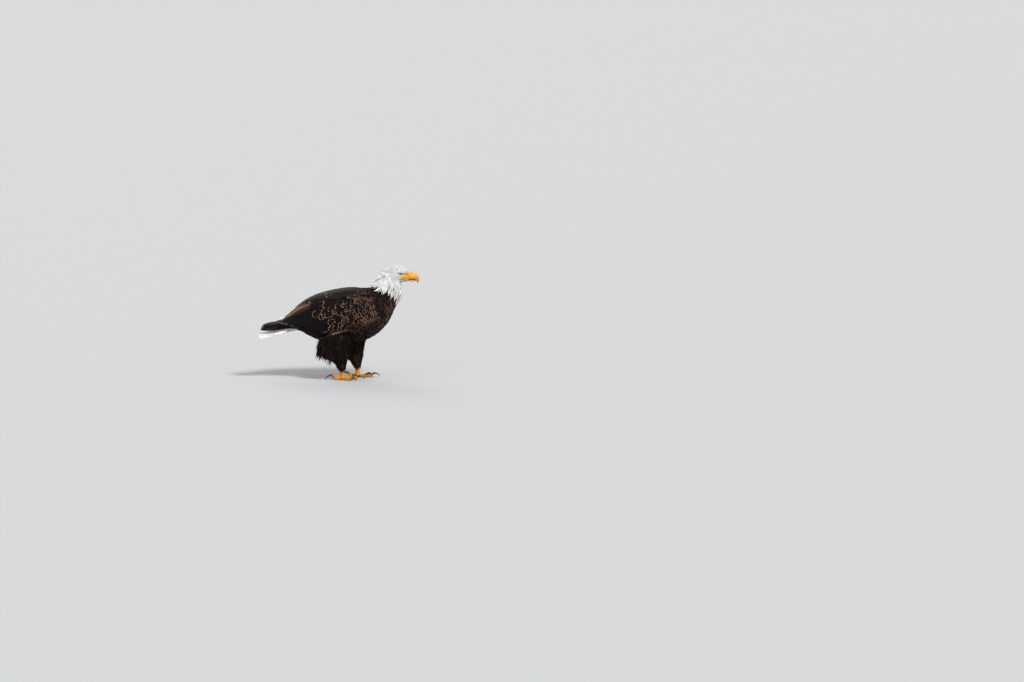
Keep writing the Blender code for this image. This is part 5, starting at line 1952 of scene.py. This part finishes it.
@dataclass
class LegCoat:
    """Shaggy dark trousers of one leg."""

    side: Side
    finishes: Finishes
    seed: int = 91
    tufts: int = 14
    tuft_feathers: int = 16
    loose: int = 90

    @staticmethod
    def lie(here: Places) -> Array:
        """Down, and swept back behind the leg."""
        behind = ease(0.2, 0.9, -np.cos(here.v))[..., None]
        return -UP - FORWARD * (0.12 + 0.30 * behind)

    def build(self) -> bpy.types.Object:
        """Long narrow feathers, ragged behind and short at the shin."""
        surface = LegSurface(self.side)
        rng = np.random.default_rng(self.seed)
        # closer downwards
        pitches = scaled(0.0120, 0.0082, [0.0, 3.0, 7.0], [1.1, 1.0, 0.55])
        u, v = rows_on(surface, (0.4, 6.75), (0, TURN), pitches, rng)
        behind = ease(0.1, 0.8, -np.cos(v)) * ease(1.0, 2.2, u) * ease(6.2, 4.6, u)
        size = np.interp(u, [0.0, 3.0, 5.0, 6.0, 6.8], [1.0, 1.05, 0.85, 0.55, 0.22])
        lowest = surface.point(u, v)[..., 2] - 0.052
        length = np.minimum(0.060 * size * (1 + 0.15 * behind), lowest * 1.15 + 0.006)
        fringe = rng.uniform(0.0, 0.22, len(u)) ** 1.5
        # the left leg gets more faded brown feathers: partly its real warm specks, partly painted
        # light that lifts it out of shade
        browner_and_lit = 0.42 if self.side.sign > 0 else 0.09
        fade = for_some(browner_and_lit, 0.1, 0.45, len(u), rng)
        sink = np.interp(u, [0, 1.2, 2.4, 7], [0.018, 0.017, 0.009, 0.0042])
        roots = sized(u, v, rng, length, 0.0125 * size ** 0.6, sink,
                      0.0012 + 0.003 * behind, 0.0015 + 0.005 * behind * rng.random(len(u)),
                      scatter=0.25, twist=0.16, fringe=fringe, fade=fade)
        form = VaneForm(columns=5, rows=8, widest=0.42, tip_power=1.4, tip_root=0.85, ragged=0.16,
                        camber=0.16)
        sets = [grow(surface, roots, form, self.lie, rng), *self.wisps(rng)]
        return vane_object("leg_feathers_" + self.side.word, sets, [self.finishes["dark"]])

    def wisps(self, rng: np.random.Generator) -> list[Vanes]:
        """Locks of long thin feathers that hang ragged below the thigh and stand off behind it."""
        tufts, per = self.tufts, self.tuft_feathers
        middle = math.pi + np.linspace(-1.45, 1.45, tufts) + rng.uniform(-0.06, 0.06, tufts)
        drop = np.repeat(rng.uniform(0.78, 1.22, tufts), per)
        aside = rng.normal(0, 0.10, tufts * per)
        v = np.repeat(middle, per) + aside
        length = mixed(0.058, 0.096, ease(-1.0, 0.1, np.cos(v))) * drop
        length *= 1.0 - 0.45 * np.clip(np.abs(aside) / 0.2, 0, 1)
        form = VaneForm(columns=3, rows=9, widest=0.30, tip_power=1.2, tip_root=1.0, ragged=0.20,
                        camber=0.2)
        roots = sized(rng.uniform(-0.45, -0.05, len(v)), v, rng, length, 0.0080, 0.003, 0.0015,
                      0.005 * rng.random(len(v)), scatter=0.12, twist=0.05, fringe=0.06,
                      fade=0.12 * rng.random(len(v)))
        roots.twist -= 2.2 * aside
        hanging = grow(SkirtSurface(self.side), roots, form, along_surface, rng)
        n = self.loose
        u, v = rng.uniform(1.2, 3.1, n), math.pi + rng.uniform(-0.9, 0.9, n)
        roots = sized(u, v, rng, 0.052, 0.0075, 0.004, 0.004, 0.019 * rng.random(n), scatter=0.25,
                      twist=0.20, fringe=0.06, fade=0.12 * rng.random(n))
        return [hanging, grow(LegSurface(self.side), roots, form, self.lie, rng)]


# ---------------------------------------------------------------- stage
@dataclass
class Stage:
    """Pale floor, soft lights and the camera."""

    distance: float = 40.107
    lens: float = 300.0
    pitch: float = math.radians(7.0)
    aim: tuple[float, float, float] = (0.8131 + SHIFT_X, 0.0, 0.1776)

    def build(self) -> None:
        """Sets everything that is not part of the bird."""
        self.floor()
        self.camera()
        for name, place, spread, power in (("key", (3.6, -4.8, 6.2), 14.0, 3.3),
                                           ("fill", (-4.5, -6.0, 3.0), 60.0, 0.35),
                                           ("back", (-2.0, 6.0, 4.5), 30.0, 0.7)):
            self.light(name, place, spread, power)
        world = bpy.data.worlds.new("soft_sky")
        world.use_nodes = True
        back = world.node_tree.nodes["Background"]
        back.inputs["Color"].default_value = (0.95, 0.96, 0.97, 1.0)
        back.inputs["Strength"].default_value = 0.66
        bpy.context.scene.world = world
        bpy.context.scene.view_settings.view_transform = "Standard"

    def floor(self) -> None:
        """Level plane well past the view."""
        half = 60.0
        mesh = bpy.data.meshes.new("floor")
        mesh.from_pydata([(-half, -half, 0), (half, -half, 0), (half, half, 0), (-half, half, 0)],
                         [], [(0, 1, 2, 3)])
        material = bpy.data.materials.new("floor")
        material.use_nodes = True
        shader = material.node_tree.nodes["Principled BSDF"]
        shader.inputs["Base Color"].default_value = (0.425, 0.427, 0.43, 1.0)
        shader.inputs["Roughness"].default_value = 0.9
        finish_object("floor", mesh, [material])

    @staticmethod
    def aimed(name: str, data: bpy.types.ID, place: Vector, way: Vector) -> bpy.types.Object:
        """A lamp or a camera at a place, which looks along a way."""
        carrier = bpy.data.objects.new(name, data)
        bpy.context.scene.collection.objects.link(carrier)
        carrier.location = place
        carrier.rotation_mode = "QUATERNION"
        carrier.rotation_quaternion = way.to_track_quat("-Z", "Y")
        return carrier

    def light(self, name: str, place: tuple[float, float, float], spread: float,
              power: float) -> None:
        """Even light from the way of a place, as soft as a source that many degrees across."""
        lamp = bpy.data.lights.new(name, "SUN")
        lamp.angle, lamp.energy = math.radians(spread), power
        carrier = self.aimed(name, lamp, Vector(place), -Vector(place))

    def camera(self) -> None:
        """Long lens from the bird's right, a little above level."""
        lens = bpy.data.cameras.new("camera")
        lens.lens, lens.sensor_width = self.lens, 36.0
        lens.clip_start, lens.clip_end = 1.0, 300.0
        away = np.array([0.0, -math.cos(self.pitch), math.sin(self.pitch)]) * self.distance
        bpy.context.scene.camera = self.aimed("camera", lens, Vector(self.aim + away),
                                              Vector(-away))


def face_folds(eyes: Eyes, brow: TubeSurface) -> bpy.types.Object:
    """Lids, gapes and brow ridges in one mesh; the upper sides of the ridges are white, and painted
    shade darkens the lids and the ridges' undersides.
    """
    ridge = loft_parts(brow.point(*tube_grid(0, 1, 40, 24)))
    mesh = solid_mesh("face_folds", eyes.lid_parts() + Gape().parts() + [ridge, mirrored(ridge)])
    points = points_of(mesh) - np.array([SHIFT_X, 0.0, 0.0])
    edge = np.interp(points[:, 0], eyes.brow_x, eyes.brow_z)
    white = ease(-0.0018, -0.0004, points[:, 2] - edge)
    white[:-2 * len(ridge[0])] = 0.0
    # painted shade on the lids round the eye, and painted shadow on the undersides of the brow
    # ridges
    dusk = np.maximum(0.8 * ease(1.5, 1.3, eye_gap(points)), brow_shadow(points))
    add_facts(mesh, white=white, bare=1.0 - white, dusk=dusk, foot=0.0 * white)
    return finish_object("face_folds", mesh, [bpy.data.materials["skin"]])


def main() -> None:
    """Builds every piece, hides the solids it stands for, and sets the stage."""
    logging.basicConfig(level=logging.INFO, format="%(name)s %(message)s")
    groups = {"barbs": barb_group(), "fringe": fringe_group()}
    finishes = {"dark": DARK.material(groups), "white": WHITE.material(groups),
                "quill": QUILL.material(groups)}
    eyes, feet = Eyes(), Feet()
    brow = eyes.brow()
    skin = Skin().build(feet, SkinFinish())
    sides = [side.word for side in Side]
    flesh = ["head", "neck", "trunk"] + [part + word for word in sides
                                         for part in ("leg_", "wing_", "foot_")]
    hand_over(skin, flesh)
    for piece, node in zip(Bill().build(BILL_HORN), ("bill_upper", "bill_lower")):
        hand_over(piece, [node])
    hand_over(eyes.balls(EyeFinish()), ["eye_left", "eye_right"])
    hand_over(face_folds(eyes, brow))
    claws = feet.claws(CLAW_HORN)
    hand_over(claws, [f"claw_{toe}_{word}" for toe in TOES for word in sides])
    coat = BodyCoat(finishes)
    hand_over(coat.head(brow))
    hand_over(coat.neck())
    hand_over(coat.trunk())
    for side in Side:
        wing = WingCoat(side, finishes)
        hand_over(wing.coverts())
        hand_over(wing.quills(),
                  ["secondaries_" + side.word, "primaries_" + side.word])
        hand_over(LegCoat(side, finishes).build())
    hand_over(TailCoat(finishes).build(), ["tail"])
    Stage().build()


if __name__ == "__main__":
    main()
